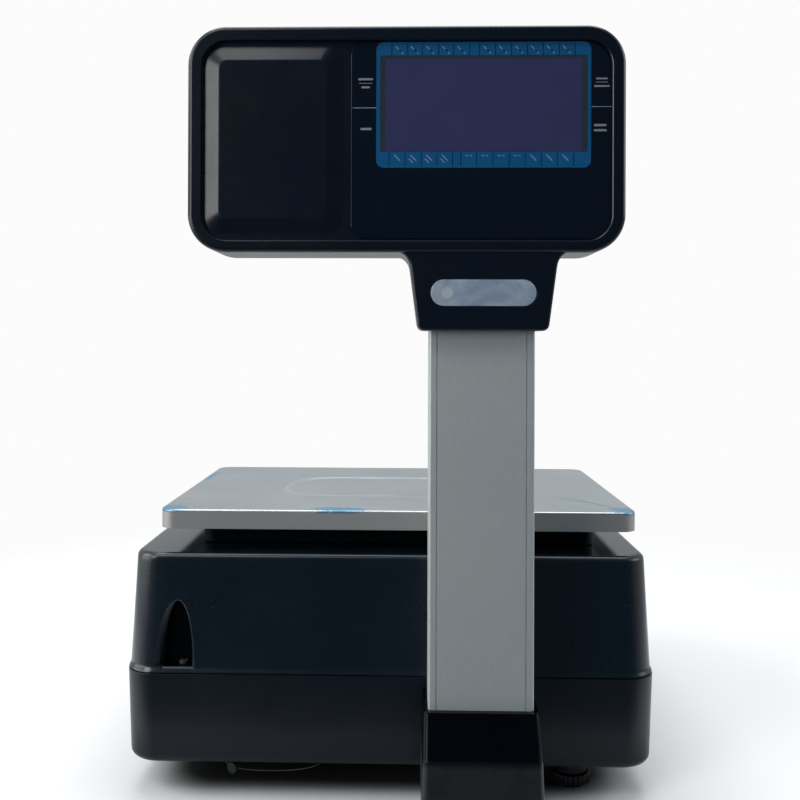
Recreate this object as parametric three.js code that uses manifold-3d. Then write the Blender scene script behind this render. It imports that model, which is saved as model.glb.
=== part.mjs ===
// Retail price-computing scale: a base with a lift-off weighing platter and a side-loading label
// printer, a rear column, and a two-sided display head. Millimetres, +Z up, z = 0 on the table.
// The customer stands at -Y, the operator at +Y. The origin is the centre of the footprint.
import * as THREE from "three";
import { mergeVertices } from "three/addons/utils/BufferGeometryUtils.js";
import Module from "manifold-3d";

const wasm = await Module();
wasm.setup();

// ---------------------------------------------------------------- driving dimensions
const GAP = 0.4; // clearance kept between neighbouring pieces
const WALL = 3; // base mouldings
const SIDES = 16; // facets of an ordinary round piece

const BASE = { halfWidth: 205, rear: -165, front: 235, corner: 24, bottom: 24, seam: 94, top: 185 };
const FLOOR = BASE.bottom + WALL + GAP; // what stands on the pan starts here
const PAN_DRAFT = 2.2; // narrowing of the pan from seam to bottom
const COVER_TAPER = 6; // narrowing of the cover from seam to top edge
const SLOPE = { y0: 112, z0: BASE.top, y1: 229, z1: 128 }; // operator's sloping keyboard face
const SLOPE_ANGLE = Math.atan2(SLOPE.z0 - SLOPE.z1, SLOPE.y1 - SLOPE.y0);

const PLATTER = { x: 6, y: -23, width: 373.4, depth: 250, top: 217, skirt: 15, sheet: 1.2, corner: 12 };
const EMBOSS = { width: 214, depth: 112, drop: 1.2, corner: 50 };
const COLLAR_TOP = 192.5; // plateau of the cover inside the carrier
const CARRIER = { width: 317.4, depth: 192, bottom: 186.2, top: 213, wall: 3, corner: 10 };
const BUTTON = { radius: 8, x: 125, y: 72 };

const POLE = { x: 67, width: 75.4, depth: 38, front: -210, wall: 2.2, corner: 4, bottom: 25, top: 402 };
const SHOE_BACK = BASE.rear - GAP - 0.6;
const HEAD = { x: 12, z: 412, parting: -198, width: 308.4, height: 159.6, corner: 27, front: 25, rear: 33 };
const HEAD_WALL = 2.5;
const PANEL = { side: 10, top: 10.5, bottom: 8.5, drop: 4 }; // sunk face inside the head's rim
const REAR_DROP = 2;
const OVERLAY = { u: 53.4, v: 79.8, width: 184, height: 140, thick: 1.3, corner: 11 };
const GLASS = { u: 54.6, v: 104.6, width: 146, height: 67 };
const BULGE = { u: -93.7, v: 79.7, width: 99.4, height: 134, run: 12, rise: 3.2 };
const NECK = { u: POLE.x - HEAD.x, drop: 55, topHalf: 53, bottomHalf: 46, fillet: 10, corner: 5 };
const BADGE = { v: -28.3, width: 74, height: 18.6, thick: 1.4 };

const FEET = [
  { x: 144, y: -127 },
  { x: -144, y: -78 },
  { x: 150, y: 190 },
  { x: -150, y: 190 },
];
const FOOT = { wheelRadius: 16, padRadius: 12.5, padTop: 1.2, wheelTop: 9.8, stud: 4, studTop: 46 };
const COLLAR = { bottom: 10.2, step: 14, lowerRadius: 13.5, radius: 15 }; // round boss above each foot

const DOOR = { y0: -30, y1: 122, z0: 58, z1: 168, hingeX: -202.4, hingeZ: 60, pin: 1.2, barrel: 2.6 };
const ROLL = { y: 48, z: 108, radius: 44, x0: -186, x1: -124 };
const PLATE = { x0: -118, x1: -116 };
const PLATEN = { y: 196, z: 108, radius: 7, shaft: 3 };
const GEAR = { module: 1, teeth: 26, pinionTeeth: 13, x0: -114, x1: -108, turn: (-3 * Math.PI) / 4 };
const GEAR_CENTRES = (GEAR.module * (GEAR.teeth + GEAR.pinionTeeth)) / 2 + 0.05;
const MOTOR = {
  y: PLATEN.y + GEAR_CENTRES * Math.cos(GEAR.turn),
  z: PLATEN.z + GEAR_CENTRES * Math.sin(GEAR.turn),
};
const ARM = { y: 148, z: 124 }; // print-head pivot
const SPOOL = { y: 142, z: 62, radius: 9, flange: 17 };
const EXIT = { x0: -189, x1: -119, z0: 102, z1: 119 }; // label outlet in the front wall

// ---------------------------------------------------------------- finishes
const finish = (color, roughness, metalness = 0) =>
  new THREE.MeshStandardMaterial({ color, roughness, metalness });
const BLACK = finish(0x0b0e12, 0.32);
const BLACK_SATIN = finish(0x0c0f13, 0.45);
const STEEL = finish(0xb9bcbc, 0.3, 1);
const ZINC = finish(0x9fa3a5, 0.4, 1);
const ALUMINIUM = finish(0x9aa19f, 0.45, 0.9);
const RUBBER = finish(0x101010, 0.85);
const GLOSS = finish(0x05070b, 0.08);
const LCD = finish(0x2c2b4c, 0.2);
const BOARD = finish(0x1c5a35, 0.5);
const PAPER = finish(0xe8e6df, 0.8);
const CARD = finish(0x9a7850, 0.8);
const NYLON = finish(0xd9d6c8, 0.5);
const BADGE_GREY = finish(0x8d98a3, 0.35, 0.3);
const KEYS = finish(0x2a3a4a, 0.4);
const LEAD = finish(0x7f8488, 0.45, 0.8);
const LEVEL = finish(0xb7d84a, 0.1);

// ---------------------------------------------------------------- solids
function toSolid(geometry) {
  const bare = geometry.index ? geometry.toNonIndexed() : geometry.clone();
  bare.deleteAttribute("normal");
  bare.deleteAttribute("uv");
  const merged = mergeVertices(bare, 1e-4);
  return new wasm.Manifold(
    new wasm.Mesh({
      numProp: 3,
      vertProperties: new Float32Array(merged.attributes.position.array),
      triVerts: new Uint32Array(merged.index.array),
    }),
  );
}

function toGeometry(body) {
  const mesh = body.getMesh();
  return new THREE.BufferGeometry()
    .setAttribute("position", new THREE.BufferAttribute(new Float32Array(mesh.vertProperties), 3))
    .setIndex(new THREE.BufferAttribute(new Uint32Array(mesh.triVerts), 1));
}

const join = (first, ...others) => others.reduce((sum, next) => sum.add(next), first);
const cut = (first, ...others) => others.reduce((sum, next) => sum.subtract(next), first);

function box([x0, x1], [y0, y1], [z0, z1]) {
  const block = new THREE.BoxGeometry(x1 - x0, y1 - y0, z1 - z0);
  return toSolid(block.translate((x0 + x1) / 2, (y0 + y1) / 2, (z0 + z1) / 2));
}

// A round bar along "x", "y" or "z", from one value of that axis to another, at the other two (in x, y, z order).
function rod(axis, radius, [from, to], [a, b], sides = SIDES) {
  const bar = new THREE.CylinderGeometry(radius, radius, to - from, sides);
  const middle = (from + to) / 2;
  if (axis === "x") bar.rotateZ(-Math.PI / 2).translate(middle, a, b);
  if (axis === "y") bar.translate(a, middle, b);
  if (axis === "z") bar.rotateX(Math.PI / 2).translate(a, b, middle);
  return toSolid(bar);
}

const tube = (axis, outer, inner, [from, to], centre, sides) =>
  cut(rod(axis, outer, [from, to], centre, sides), rod(axis, inner, [from - 1, to + 1], centre, sides));

// A rounded rectangle as a THREE.Shape, centred on (u, v).
function roundedRect(width, height, radius, u = 0, v = 0) {
  const [x, y] = [u - width / 2, v - height / 2];
  const shape = new THREE.Shape();
  shape.moveTo(x + radius, y);
  shape.lineTo(x + width - radius, y);
  shape.absarc(x + width - radius, y + radius, radius, -Math.PI / 2, 0);
  shape.lineTo(x + width, y + height - radius);
  shape.absarc(x + width - radius, y + height - radius, radius, 0, Math.PI / 2);
  shape.lineTo(x + radius, y + height);
  shape.absarc(x + radius, y + height - radius, radius, Math.PI / 2, Math.PI);
  shape.lineTo(x, y + radius);
  shape.absarc(x + radius, y + radius, radius, Math.PI, 1.5 * Math.PI);
  return shape;
}

// A shape pushed from one depth to another along +Z.
function slab(shape, [from, to], curveSegments = 4) {
  const pushed = new THREE.ExtrudeGeometry(shape, { depth: to - from, bevelEnabled: false, curveSegments });
  return toSolid(pushed.translate(0, 0, from));
}

// The same, with the shape in the Y-Z plane and pushed along X.
function slabAlongX(shape, [from, to], curveSegments = 4) {
  const pushed = new THREE.ExtrudeGeometry(shape, { depth: to - from, bevelEnabled: false, curveSegments });
  const turn = new THREE.Matrix4().set(0, 0, 1, from, 1, 0, 0, 0, 0, 1, 0, 0, 0, 0, 0, 1);
  return toSolid(pushed.applyMatrix4(turn));
}

// One level of a loft: a rounded rectangle from (x0, y0) to (x1, y1) at height z.
function ring(x0, x1, y0, y1, radius, z, arc = 5) {
  const points = [];
  const corners = [
    [x1 - radius, y0 + radius, -Math.PI / 2],
    [x1 - radius, y1 - radius, 0],
    [x0 + radius, y1 - radius, Math.PI / 2],
    [x0 + radius, y0 + radius, Math.PI],
  ];
  for (const [x, y, start] of corners)
    for (let i = 0; i <= arc; i++) {
      const angle = start + (i / arc) * (Math.PI / 2);
      points.push([x + radius * Math.cos(angle), y + radius * Math.sin(angle), z]);
    }
  return points;
}

// A closed solid through a stack of rings, bottom ring first.
function loft(rings) {
  const count = rings[0].length;
  const middle = (points) => [0, 1, 2].map((k) => points.reduce((sum, p) => sum + p[k], 0) / count);
  const vertices = [...rings.flat(), middle(rings[0]), middle(rings.at(-1))];
  const faces = [];
  for (let r = 0; r + 1 < rings.length; r++)
    for (let i = 0; i < count; i++) {
      const [a, b] = [r * count + i, r * count + ((i + 1) % count)];
      faces.push(a, b, b + count, a, b + count, a + count);
    }
  const [low, high, last] = [vertices.length - 2, vertices.length - 1, (rings.length - 1) * count];
  for (let i = 0; i < count; i++) {
    const next = (i + 1) % count;
    faces.push(low, next, i, high, last + i, last + next);
  }
  const surface = new THREE.BufferGeometry();
  surface.setAttribute("position", new THREE.Float32BufferAttribute(vertices.flat(), 3));
  surface.setIndex(faces);
  return toSolid(surface);
}

// ---------------------------------------------------------------- scene helpers
const scale = new THREE.Group();
scale.name = "retail_price_scale";

function place(name, body, material, parent = scale, position = [0, 0, 0]) {
  const mesh = new THREE.Mesh(toGeometry(body), material);
  mesh.name = name;
  mesh.position.set(...position);
  parent.add(mesh);
  return mesh;
}

// ---------------------------------------------------------------- base mouldings
// A level of the base's outline, pulled in by inset on every side.
const baseRing = (inset, z) =>
  ring(
    -BASE.halfWidth + inset,
    BASE.halfWidth - inset,
    BASE.rear + inset,
    BASE.front - inset,
    BASE.corner - Math.min(inset, 12) / 2,
    z,
  );

const panInset = (z) => (PAN_DRAFT * (BASE.seam - z)) / (BASE.seam - BASE.bottom);
const coverInset = (z) => 1.8 + ((COVER_TAPER - 1.8) * (z - 99)) / (180 - 99);

function panHull(extra) {
  const edge = [
    [0, 6.4],
    [1, 3.6],
    [3.2, 1.3],
    [7, 0],
  ];
  const levels = edge.map(([up, inset]) => {
    const z = BASE.bottom + up + extra;
    return baseRing(panInset(z) + inset + extra, z);
  });
  return loft([...levels, baseRing(extra, BASE.seam)]);
}

function coverHull(extra) {
  const top = BASE.top - extra;
  const foot = extra ? [] : [baseRing(0.1, BASE.seam + GAP), baseRing(1.2, BASE.seam + 2.6)];
  const start = extra ? baseRing(coverInset(99) + extra, BASE.seam + GAP - 1) : baseRing(coverInset(99), 99);
  const levels = [
    baseRing(coverInset(180) + extra, top - 5),
    baseRing(coverInset(182) + extra + 1.4, top - 1.5),
    baseRing(coverInset(184) + extra + 4.5, top),
  ];
  return loft([...foot, start, ...levels]);
}

// Everything above the keyboard slope, moved down its normal by depth.
function aboveSlope(depth) {
  const rise = depth / Math.cos(SLOPE_ANGLE);
  const far = 60;
  const shape = new THREE.Shape();
  const drop = Math.tan(SLOPE_ANGLE);
  shape.moveTo(SLOPE.y0 - far, SLOPE.z0 + far * drop - rise);
  shape.lineTo(SLOPE.y1 + far, SLOPE.z1 - far * drop - rise);
  shape.lineTo(SLOPE.y1 + far, SLOPE.z0 + 2 * far);
  shape.lineTo(SLOPE.y0 - far, SLOPE.z0 + 2 * far);
  return slabAlongX(shape, [-300, 300]);
}

// The doorway's outline: the door itself is smaller by GAP on every side.
const doorway = (gap) =>
  box([-260, -190], [DOOR.y0 - gap, DOOR.y1 + gap], [DOOR.z0 - gap, DOOR.z1 + gap]);

const ARCH = { x: -162, width: 21.6, bottom: 99, top: 148, depth: 15 };

// A bullet-shaped prism cut into the rear wall, from y0 inwards.
function archPrism(grow, depth) {
  const half = ARCH.width / 2 + grow;
  const shape = new THREE.Shape();
  shape.moveTo(ARCH.x - half, ARCH.bottom - grow);
  shape.lineTo(ARCH.x + half, ARCH.bottom - grow);
  shape.bezierCurveTo(ARCH.x + half, 128, ARCH.x + 5, ARCH.top + grow, ARCH.x, ARCH.top + grow);
  shape.bezierCurveTo(ARCH.x - 5, ARCH.top + grow, ARCH.x - half, 128, ARCH.x - half, ARCH.bottom - grow);
  const pushed = new THREE.ExtrudeGeometry(shape, { depth: depth + 20, bevelEnabled: false, curveSegments: 8 });
  return toSolid(pushed.rotateX(Math.PI / 2).translate(0, BASE.rear + 1 + depth, 0));
}

const INLET = { y: -95, z: 50, width: 28, height: 21 };
const SWITCH = { y: -62, z: 50, width: 14, height: 20 };
const PORTS = { y: 62, z: 50, width: 84, height: 24 };
const SEAL_HOLES = [
  [-131, -146],
  [-51, -148],
];
const COVER_POSTS = [
  [-178, -138],
  [178, -138],
  [-100, 222],
  [178, 208],
];
const BOARD_Z = 44;
const BOARD_POSTS = [
  [116, 6],
  [180, 6],
  [116, 104],
  [180, 104],
];
const KNUCKLES = [
  [DOOR.y0 + 8, DOOR.y0 + 20],
  [DOOR.y1 - 20, DOOR.y1 - 8],
];

// An opening through the pan's right-hand wall.
const wallOpening = ({ y, z, width, height }) =>
  box([190, 210], [y - width / 2, y + width / 2], [z - height / 2, z + height / 2]);
const BRACKET_STUDS = [
  [45, -142],
  [85, -142],
  [45, -108],
  [85, -108],
];

function buildPan() {
  let pan = cut(panHull(0), panHull(WALL).add(box([-150, 150], [-120, 190], [90, 100])));
  pan = cut(pan, loft([baseRing(WALL, BASE.seam - 8), baseRing(WALL, BASE.seam + 1)]));
  for (const { x, y } of FEET) {
    pan = join(
      pan,
      rod("z", COLLAR.lowerRadius, [COLLAR.bottom, COLLAR.step + 1], [x, y], 20),
      rod("z", COLLAR.radius, [COLLAR.step, BASE.bottom + 1], [x, y], 20),
      rod("z", 8, [BASE.bottom + 1, 50], [x, y], 10),
    );
    pan = cut(pan, rod("z", FOOT.stud + GAP, [COLLAR.bottom - 1, 51], [x, y], 10));
  }
  for (const at of BRACKET_STUDS)
    pan = cut(join(pan, rod("z", 5, [BASE.bottom + 1, 44], at, 8)), rod("z", 2.3, [BASE.bottom - 9, 40], at, 8));
  for (const at of COVER_POSTS)
    pan = cut(join(pan, rod("z", 6, [BASE.bottom + 1, 44], at, 8)), rod("z", 2.4, [BASE.bottom - 9, 50], at, 8));
  for (const at of BOARD_POSTS) pan = join(pan, rod("z", 3, [BASE.bottom + 1, BOARD_Z - GAP], at, 6));
  pan = cut(
    pan,
    doorway(0),
    rod("y", DOOR.barrel + GAP, [DOOR.y0, DOOR.y1], [DOOR.hingeX, DOOR.hingeZ]),
    wallOpening(INLET),
    wallOpening(SWITCH),
    wallOpening(PORTS),
    box([POLE.x - 14, POLE.x + 14], [BASE.rear - 5, BASE.rear + 8], [50, 66]),
    ...SEAL_HOLES.map((at) => rod("z", 1.8, [BASE.bottom - 2, BASE.bottom + 6], at, 8)),
  );
  pan = join(pan, ...KNUCKLES.map((span) => rod("y", DOOR.barrel, span, [DOOR.hingeX, DOOR.hingeZ])));
  pan = join(pan, ...KNUCKLES.map(([from, to]) => box([-203.6, -201.4], [from, to], [56, 59])));
  const coverPost = rod("z", 5, [BASE.bottom + 1, BASE.seam - GAP], [ARCH.x + 3, BASE.rear + 11], 12);
  pan = join(pan, coverPost);
  return cut(
    pan,
    rod("y", DOOR.pin + 0.15, [DOOR.y0 + 7, DOOR.y1 - 7], [DOOR.hingeX, DOOR.hingeZ], 12),
    rod("z", 2.2, [76, BASE.seam + 1], [ARCH.x + 3, BASE.rear + 11], 12),
  );
}

const KEYPAD = { x0: -146, x1: 190, inset: 9, thick: 1.2 };
const BUBBLE = { x: -170, along: 34, radius: 8, deep: 7 };

// Turns a solid modelled on a flat top (y along the slope from its upper edge, z out of it) onto the slope.
function ontoSlope(body) {
  const turned = toGeometry(body).rotateX(-SLOPE_ANGLE).translate(0, SLOPE.y0, SLOPE.z0);
  return toSolid(turned);
}
const SLOPE_LENGTH = Math.hypot(SLOPE.y1 - SLOPE.y0, SLOPE.z0 - SLOPE.z1);

// The plateau that stands up inside the carrier.
const collar = (inset, z0, z1) => {
  const gap = CARRIER.wall + 3 + inset;
  const [halfX, halfY] = [CARRIER.width / 2 - gap, CARRIER.depth / 2 - gap];
  const { x, y } = PLATTER;
  const level = (z) => ring(x - halfX, x + halfX, y - halfY, y + halfY, CARRIER.corner, z, 5);
  return loft([level(z0), level(z1)]);
};

function buildCover() {
  const outer = cut(join(coverHull(0), collar(0, BASE.top - 2, COLLAR_TOP)), aboveSlope(0));
  const inner = join(cut(coverHull(WALL), aboveSlope(WALL)), collar(WALL, BASE.top - 8, COLLAR_TOP - WALL));
  let cover = cut(outer, inner);
  // The well that the load cell's post comes up through, with a rim that keeps spills out.
  const well = (grow, z0, z1) =>
    slab(roundedRect(70 + grow, 56 + grow, 8, PLATTER.x, PLATTER.y), [z0, z1]);
  cover = join(cover, well(5, COLLAR_TOP - 1, COLLAR_TOP + 6));
  cover = cut(cover, well(0, COLLAR_TOP - 9, COLLAR_TOP + 12));
  // The screw pocket in the rear wall.
  cover = join(cover, archPrism(2.4, ARCH.depth + 2.4).intersect(outer));
  cover = cut(
    cover,
    archPrism(0, ARCH.depth),
    rod("z", 2.3, [BASE.seam - 2, ARCH.bottom + 1], [ARCH.x + 3, BASE.rear + 11], 12),
  );
  // Posts for the screws that come up through the pan.
  for (const at of COVER_POSTS) {
    cover = join(cover, cut(rod("z", 5, [44 + GAP, BASE.top - 1], at, 8), aboveSlope(1)));
    cover = cut(cover, rod("z", 1.9, [40, 64], at, 6));
  }
  // The doorway, the label outlet, the keypad's recess and the seat of the level.
  return cut(
    cover,
    doorway(0),
    box([EXIT.x0, EXIT.x1], [BASE.front - 12, BASE.front + 5], [EXIT.z0, EXIT.z1]),
    ontoSlope(
      box([KEYPAD.x0 - GAP, KEYPAD.x1 + GAP], [KEYPAD.inset - GAP, SLOPE_LENGTH - KEYPAD.inset + GAP], [-1.4, 5]),
    ),
    ontoSlope(box([KEYPAD.x1 - 40, KEYPAD.x1 - 20], [SLOPE_LENGTH / 2 - 5, SLOPE_LENGTH / 2 + 5], [-9, 0])),
    ontoSlope(rod("z", BUBBLE.radius + GAP, [-12, 5], [BUBBLE.x, BUBBLE.along])),
  );
}

// The door closes the doorway flush with the wall and turns down on the pin along its lower edge.
function buildDoor() {
  const hull = (extra) =>
    loft([
      baseRing(panInset(50) + extra, 50),
      baseRing(0.1 + extra, BASE.seam),
      baseRing(1.8 + extra, 99),
      baseRing(coverInset(175) + extra, 175),
    ]);
  const panel = cut(hull(0), hull(WALL)).intersect(doorway(-GAP));
  const axis = [DOOR.hingeX, DOOR.hingeZ];
  const [first, second] = KNUCKLES;
  const barrel = rod("y", DOOR.barrel, [first[1] + GAP, second[0] - GAP], axis);
  const slots = KNUCKLES.map(([from, to]) => rod("y", DOOR.barrel + GAP, [from - GAP, to + GAP], axis));
  const [y, z] = [(DOOR.y0 + DOOR.y1) / 2, DOOR.z1];
  const catchTab = box([-197.2, -195], [y - 9, y + 9], [z - 14, z - GAP]);
  const grip = box([-206, -199.3], [y - 15, y + 15], [z - 12, z + 2]);
  return cut(
    join(cut(panel, ...slots), barrel, catchTab),
    rod("y", DOOR.pin + 0.15, [DOOR.y0, DOOR.y1], axis, 12),
    grip,
  );
}

function addBase() {
  place("base_pan", buildPan(), BLACK_SATIN);
  place("top_cover", buildCover(), BLACK);
  place("side_door", buildDoor(), BLACK);
  const pin = rod("y", DOOR.pin, [DOOR.y0 + 8, DOOR.y1 - 8], [DOOR.hingeX, DOOR.hingeZ], 12);
  place("door_pin", pin, STEEL);
  const keys = box([KEYPAD.x0, KEYPAD.x1], [KEYPAD.inset, SLOPE_LENGTH - KEYPAD.inset], [-1.1, 0.1]);
  place("keypad_panel", ontoSlope(keys), KEYS);
  const vial = join(
    rod("z", BUBBLE.radius, [-6, 1], [BUBBLE.x, BUBBLE.along]),
    rod("z", BUBBLE.radius + 1.6, [0.3, 1.2], [BUBBLE.x, BUBBLE.along]),
  );
  place("bubble_level", ontoSlope(vial), LEVEL);
  const coverScrew = join(rod("z", 3.6, [ARCH.bottom + 0.3, ARCH.bottom + 2.6], [0, 0], 16), rod("z", 1.9, [78, 101], [0, 0], 8));
  place("cover_screw", coverScrew, STEEL, scale, [ARCH.x + 3, BASE.rear + 11, 0]);
}

// ---------------------------------------------------------------- weighing works
function buildPlatter() {
  const { width, depth, top, skirt, sheet, corner } = PLATTER;
  const level = (inset, z) =>
    ring(-width / 2 + inset, width / 2 - inset, -depth / 2 + inset, depth / 2 - inset, corner - inset / 2, z);
  const hull = (extra) =>
    loft([
      level(extra, extra ? top - skirt - 1 : top - skirt),
      level(extra, top - 2.2 - extra),
      level(0.7 + extra, top - 0.7 - extra),
      level(2.2 + extra, top - extra),
    ]);
  const dish = (grow, z0, z1) =>
    slab(roundedRect(EMBOSS.width + grow, EMBOSS.depth + grow, EMBOSS.corner + grow / 2), [z0, z1], 8);
  const pressed = top - EMBOSS.drop;
  const sheetMetal = join(cut(hull(0), hull(sheet)), dish(2 * sheet, pressed - sheet, top - sheet + 0.1));
  return cut(sheetMetal, dish(0, pressed, top + 1));
}

function buildCarrier() {
  const { width, depth, bottom, top, wall, corner } = CARRIER;
  const level = (inset, z) =>
    ring(-width / 2 + inset, width / 2 - inset, -depth / 2 + inset, depth / 2 - inset, corner - inset / 3, z, 5);
  const outer = loft([level(0, bottom), level(0, top - 3), level(1, top - 0.8), level(3, top)]);
  let body = cut(outer, loft([level(wall, bottom - 1), level(wall, top - 5)]));
  const ribs = [-50, 50].map((y) => box([-width / 2 + 2, width / 2 - 2], [y - 1.5, y + 1.5], [top - 14, top - 4]));
  body = join(body, ...ribs, rod("z", 16, [top - 16, top - 4], [0, 0]));
  for (const sx of [-1, 1])
    for (const sy of [-1, 1])
      body = cut(body, rod("z", 4.3, [top - 8, top + 1], [sx * BUTTON.x, sy * BUTTON.y], 10));
  return body;
}

const CELL = { width: 30, height: 40, length: 130, bottom: 62 };

function buildLoadCell() {
  const half = CELL.length / 2;
  const z = CELL.bottom + CELL.height / 2;
  const bar = box([-CELL.width / 2, CELL.width / 2], [-half, half], [CELL.bottom, CELL.bottom + CELL.height]);
  const eyes = [-22, 22].map((y) => rod("x", 14, [-40, 40], [y, z], 20));
  return cut(bar, ...eyes, box([-40, 40], [-22, 22], [z - 5, z + 5]));
}

function addWeighing() {
  const works = new THREE.Group();
  works.position.set(PLATTER.x, PLATTER.y, 0);
  scale.add(works);
  const half = CELL.length / 2;
  const cellTop = CELL.bottom + CELL.height;
  const chassis = join(
    box([-90, 90], [-76, 76], [FLOOR, FLOOR + 2.6]),
    box([-15, 15], [-half, -half + 34], [FLOOR + 2, CELL.bottom - GAP]),
  );
  place("chassis_plate", chassis, ZINC, works);
  place("load_cell", buildLoadCell(), ALUMINIUM, works);
  const post = join(
    box([-15, 15], [half - 34, half], [cellTop + GAP, cellTop + 14]),
    box([-15, 15], [-22, half], [cellTop + 10, cellTop + 22]),
    box([-22, 22], [-22, 22], [cellTop + 10, CARRIER.top - 16 - GAP]),
  );
  place("cell_post", post, ZINC, works);
  place("overload_stop", rod("z", 5, [FLOOR + 3, CELL.bottom - 1.2], [0, half - 14], 12), STEEL, works);
  place("platter_carrier", buildCarrier(), BLACK_SATIN, works);
  let index = 1;
  for (const sx of [-1, 1])
    for (const sy of [-1, 1]) {
      const button = join(
        rod("z", 3.8, [CARRIER.top - 7, CARRIER.top + 1], [0, 0], 10),
        rod("z", BUTTON.radius, [CARRIER.top + GAP / 2, PLATTER.top - PLATTER.sheet - 0.2], [0, 0]),
      );
      place(`rest_button_${index++}`, button, RUBBER, works, [sx * BUTTON.x, sy * BUTTON.y, 0]);
    }
  place("platter", buildPlatter(), STEEL, works);
}

// ---------------------------------------------------------------- levelling feet
function buildWheel() {
  const lobes = 24;
  const shape = new THREE.Shape();
  for (let i = 0; i < lobes * 3; i++) {
    const angle = (i / (lobes * 3)) * 2 * Math.PI;
    const radius = FOOT.wheelRadius - (i % 3 ? 0 : 1.2);
    shape[i ? "lineTo" : "moveTo"](radius * Math.cos(angle), radius * Math.sin(angle));
  }
  const rim = slab(shape, [FOOT.padTop + GAP, FOOT.wheelTop]);
  return join(rim, rod("z", FOOT.stud, [FOOT.wheelTop - 1, FOOT.studTop], [0, 0], 10));
}

function addFeet() {
  FEET.forEach(({ x, y }, i) => {
    const foot = new THREE.Group();
    foot.position.set(x, y, 0);
    scale.add(foot);
    const pad = rod("z", FOOT.padRadius, [0, FOOT.padTop], [0, 0], 20);
    place(`foot_pad_${i + 1}`, pad, RUBBER, foot);
    place(`foot_wheel_${i + 1}`, buildWheel(), BLACK_SATIN, foot);
  });
}

// ---------------------------------------------------------------- column
function addColumn() {
  const column = new THREE.Group();
  column.position.set(POLE.x, 0, 0);
  scale.add(column);
  const middle = POLE.front + POLE.depth / 2;
  const outline = roundedRect(POLE.width, POLE.depth, POLE.corner, 0, middle);
  outline.holes.push(roundedRect(POLE.width - 2 * POLE.wall, POLE.depth - 2 * POLE.wall, 2, 0, middle));
  const grooves = [-1, 1].map((side) =>
    box([side * 32 - 0.5, side * 32 + 0.5], [POLE.front - 1, POLE.front + 0.7], [0, 500]),
  );
  const cableWay = box([-13, 13], [POLE.front + POLE.depth - 6, POLE.front + POLE.depth + 6], [48, 68]);
  place("pole", cut(slab(outline, [POLE.bottom, POLE.top], 4), ...grooves, cableWay), ALUMINIUM, column);

  const level = (half, front, z, inset = 0) => ring(-half, half, front, SHOE_BACK - inset, 5, z, 5);
  const shell = loft([
    level(42.7, -235, BASE.bottom),
    level(42.1, -230, 57.5),
    level(42, -227.6, 61),
    level(41.6, -215.5, 84),
    level(40.8, -214, 86.5),
  ]);
  const bore = roundedRect(POLE.width + 2 * GAP, POLE.depth + 2 * GAP, POLE.corner, 0, middle);
  const hollow = loft([
    ring(-40, 40, -232, SHOE_BACK - 2.5, 4, BASE.bottom - 1, 5),
    ring(-39.4, 39.4, -226.8, SHOE_BACK - 2.5, 4, 57, 5),
    ring(-39.2, 39.2, -214.5, SHOE_BACK - 2.5, 4, 82, 5),
  ]);
  const shoe = cut(
    shell,
    hollow,
    slab(bore, [80, 90], 4),
    box([-13, 13], [SHOE_BACK - 6, SHOE_BACK + 3], [48, 68]),
    box([-37, 37], [SHOE_BACK - 6, SHOE_BACK + 3], [BASE.bottom - 9, BASE.bottom + 1.5]),
  );
  place("pole_shoe", shoe, BLACK, column);

  const bracket = join(
    box([-34, 34], [-207, -92], [BASE.bottom - 3.4, BASE.bottom - GAP]),
    box([-34, 34], [-207, -204], [BASE.bottom - 3.4, 118]),
  );
  const studs = BRACKET_STUDS.map(([x, y]) => rod("z", 1.9, [BASE.bottom - 2, 39], [x - POLE.x, y], 8));
  place("pole_bracket", join(bracket, ...studs), ZINC, column);
}

// ---------------------------------------------------------------- display head
// Face frame: X right as the customer sees it, Y up from the head's lower edge, Z towards the customer.
function headHull(side, extra) {
  const depth = side > 0 ? HEAD.front : HEAD.rear;
  const half = HEAD.width / 2 - extra;
  const level = (inset, w) =>
    ring(-half + inset, half - inset, extra + inset, HEAD.height - extra - inset, HEAD.corner - extra - inset / 2, w, 6);
  const start = side > 0 ? 0 : -GAP;
  const drop = side > 0 ? PANEL.drop : REAR_DROP;
  const away = side * (depth - (extra ? drop + extra : 0));
  const levels = extra
    ? [level(0, start - side), level(0, away)]
    : [level(0, start), level(0.4, away - side * 5), level(1.5, away - side * 1.8), level(4, away)];
  return loft(side > 0 ? levels : levels.reverse());
}

// The neck's outline, flared into the head above and rounded below.
function neckOutline() {
  const { u, drop, topHalf, bottomHalf, fillet, corner } = NECK;
  const shape = new THREE.Shape();
  shape.moveTo(u - topHalf - fillet, 1);
  shape.quadraticCurveTo(u - topHalf, 0, u - topHalf + 1.2, -fillet);
  shape.lineTo(u - bottomHalf - 0.6, corner - drop);
  shape.quadraticCurveTo(u - bottomHalf, -drop, u - bottomHalf + corner, -drop);
  shape.lineTo(u + bottomHalf - corner, -drop);
  shape.quadraticCurveTo(u + bottomHalf, -drop, u + bottomHalf + 0.6, corner - drop);
  shape.lineTo(u + topHalf - 1.2, -fillet);
  shape.quadraticCurveTo(u + topHalf, 0, u + topHalf + fillet, 1);
  shape.lineTo(u + topHalf, 12);
  shape.lineTo(u - topHalf, 12);
  return shape;
}

// The neck's hollow, open into the head.
function neckBore() {
  const { u, drop, topHalf, bottomHalf } = NECK;
  const [top, low] = [topHalf - HEAD_WALL - 1.2, bottomHalf - HEAD_WALL];
  const shape = new THREE.Shape();
  shape.moveTo(u - top, 14);
  shape.lineTo(u - low, HEAD_WALL - drop);
  shape.lineTo(u + low, HEAD_WALL - drop);
  shape.lineTo(u + top, 14);
  return shape;
}

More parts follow.
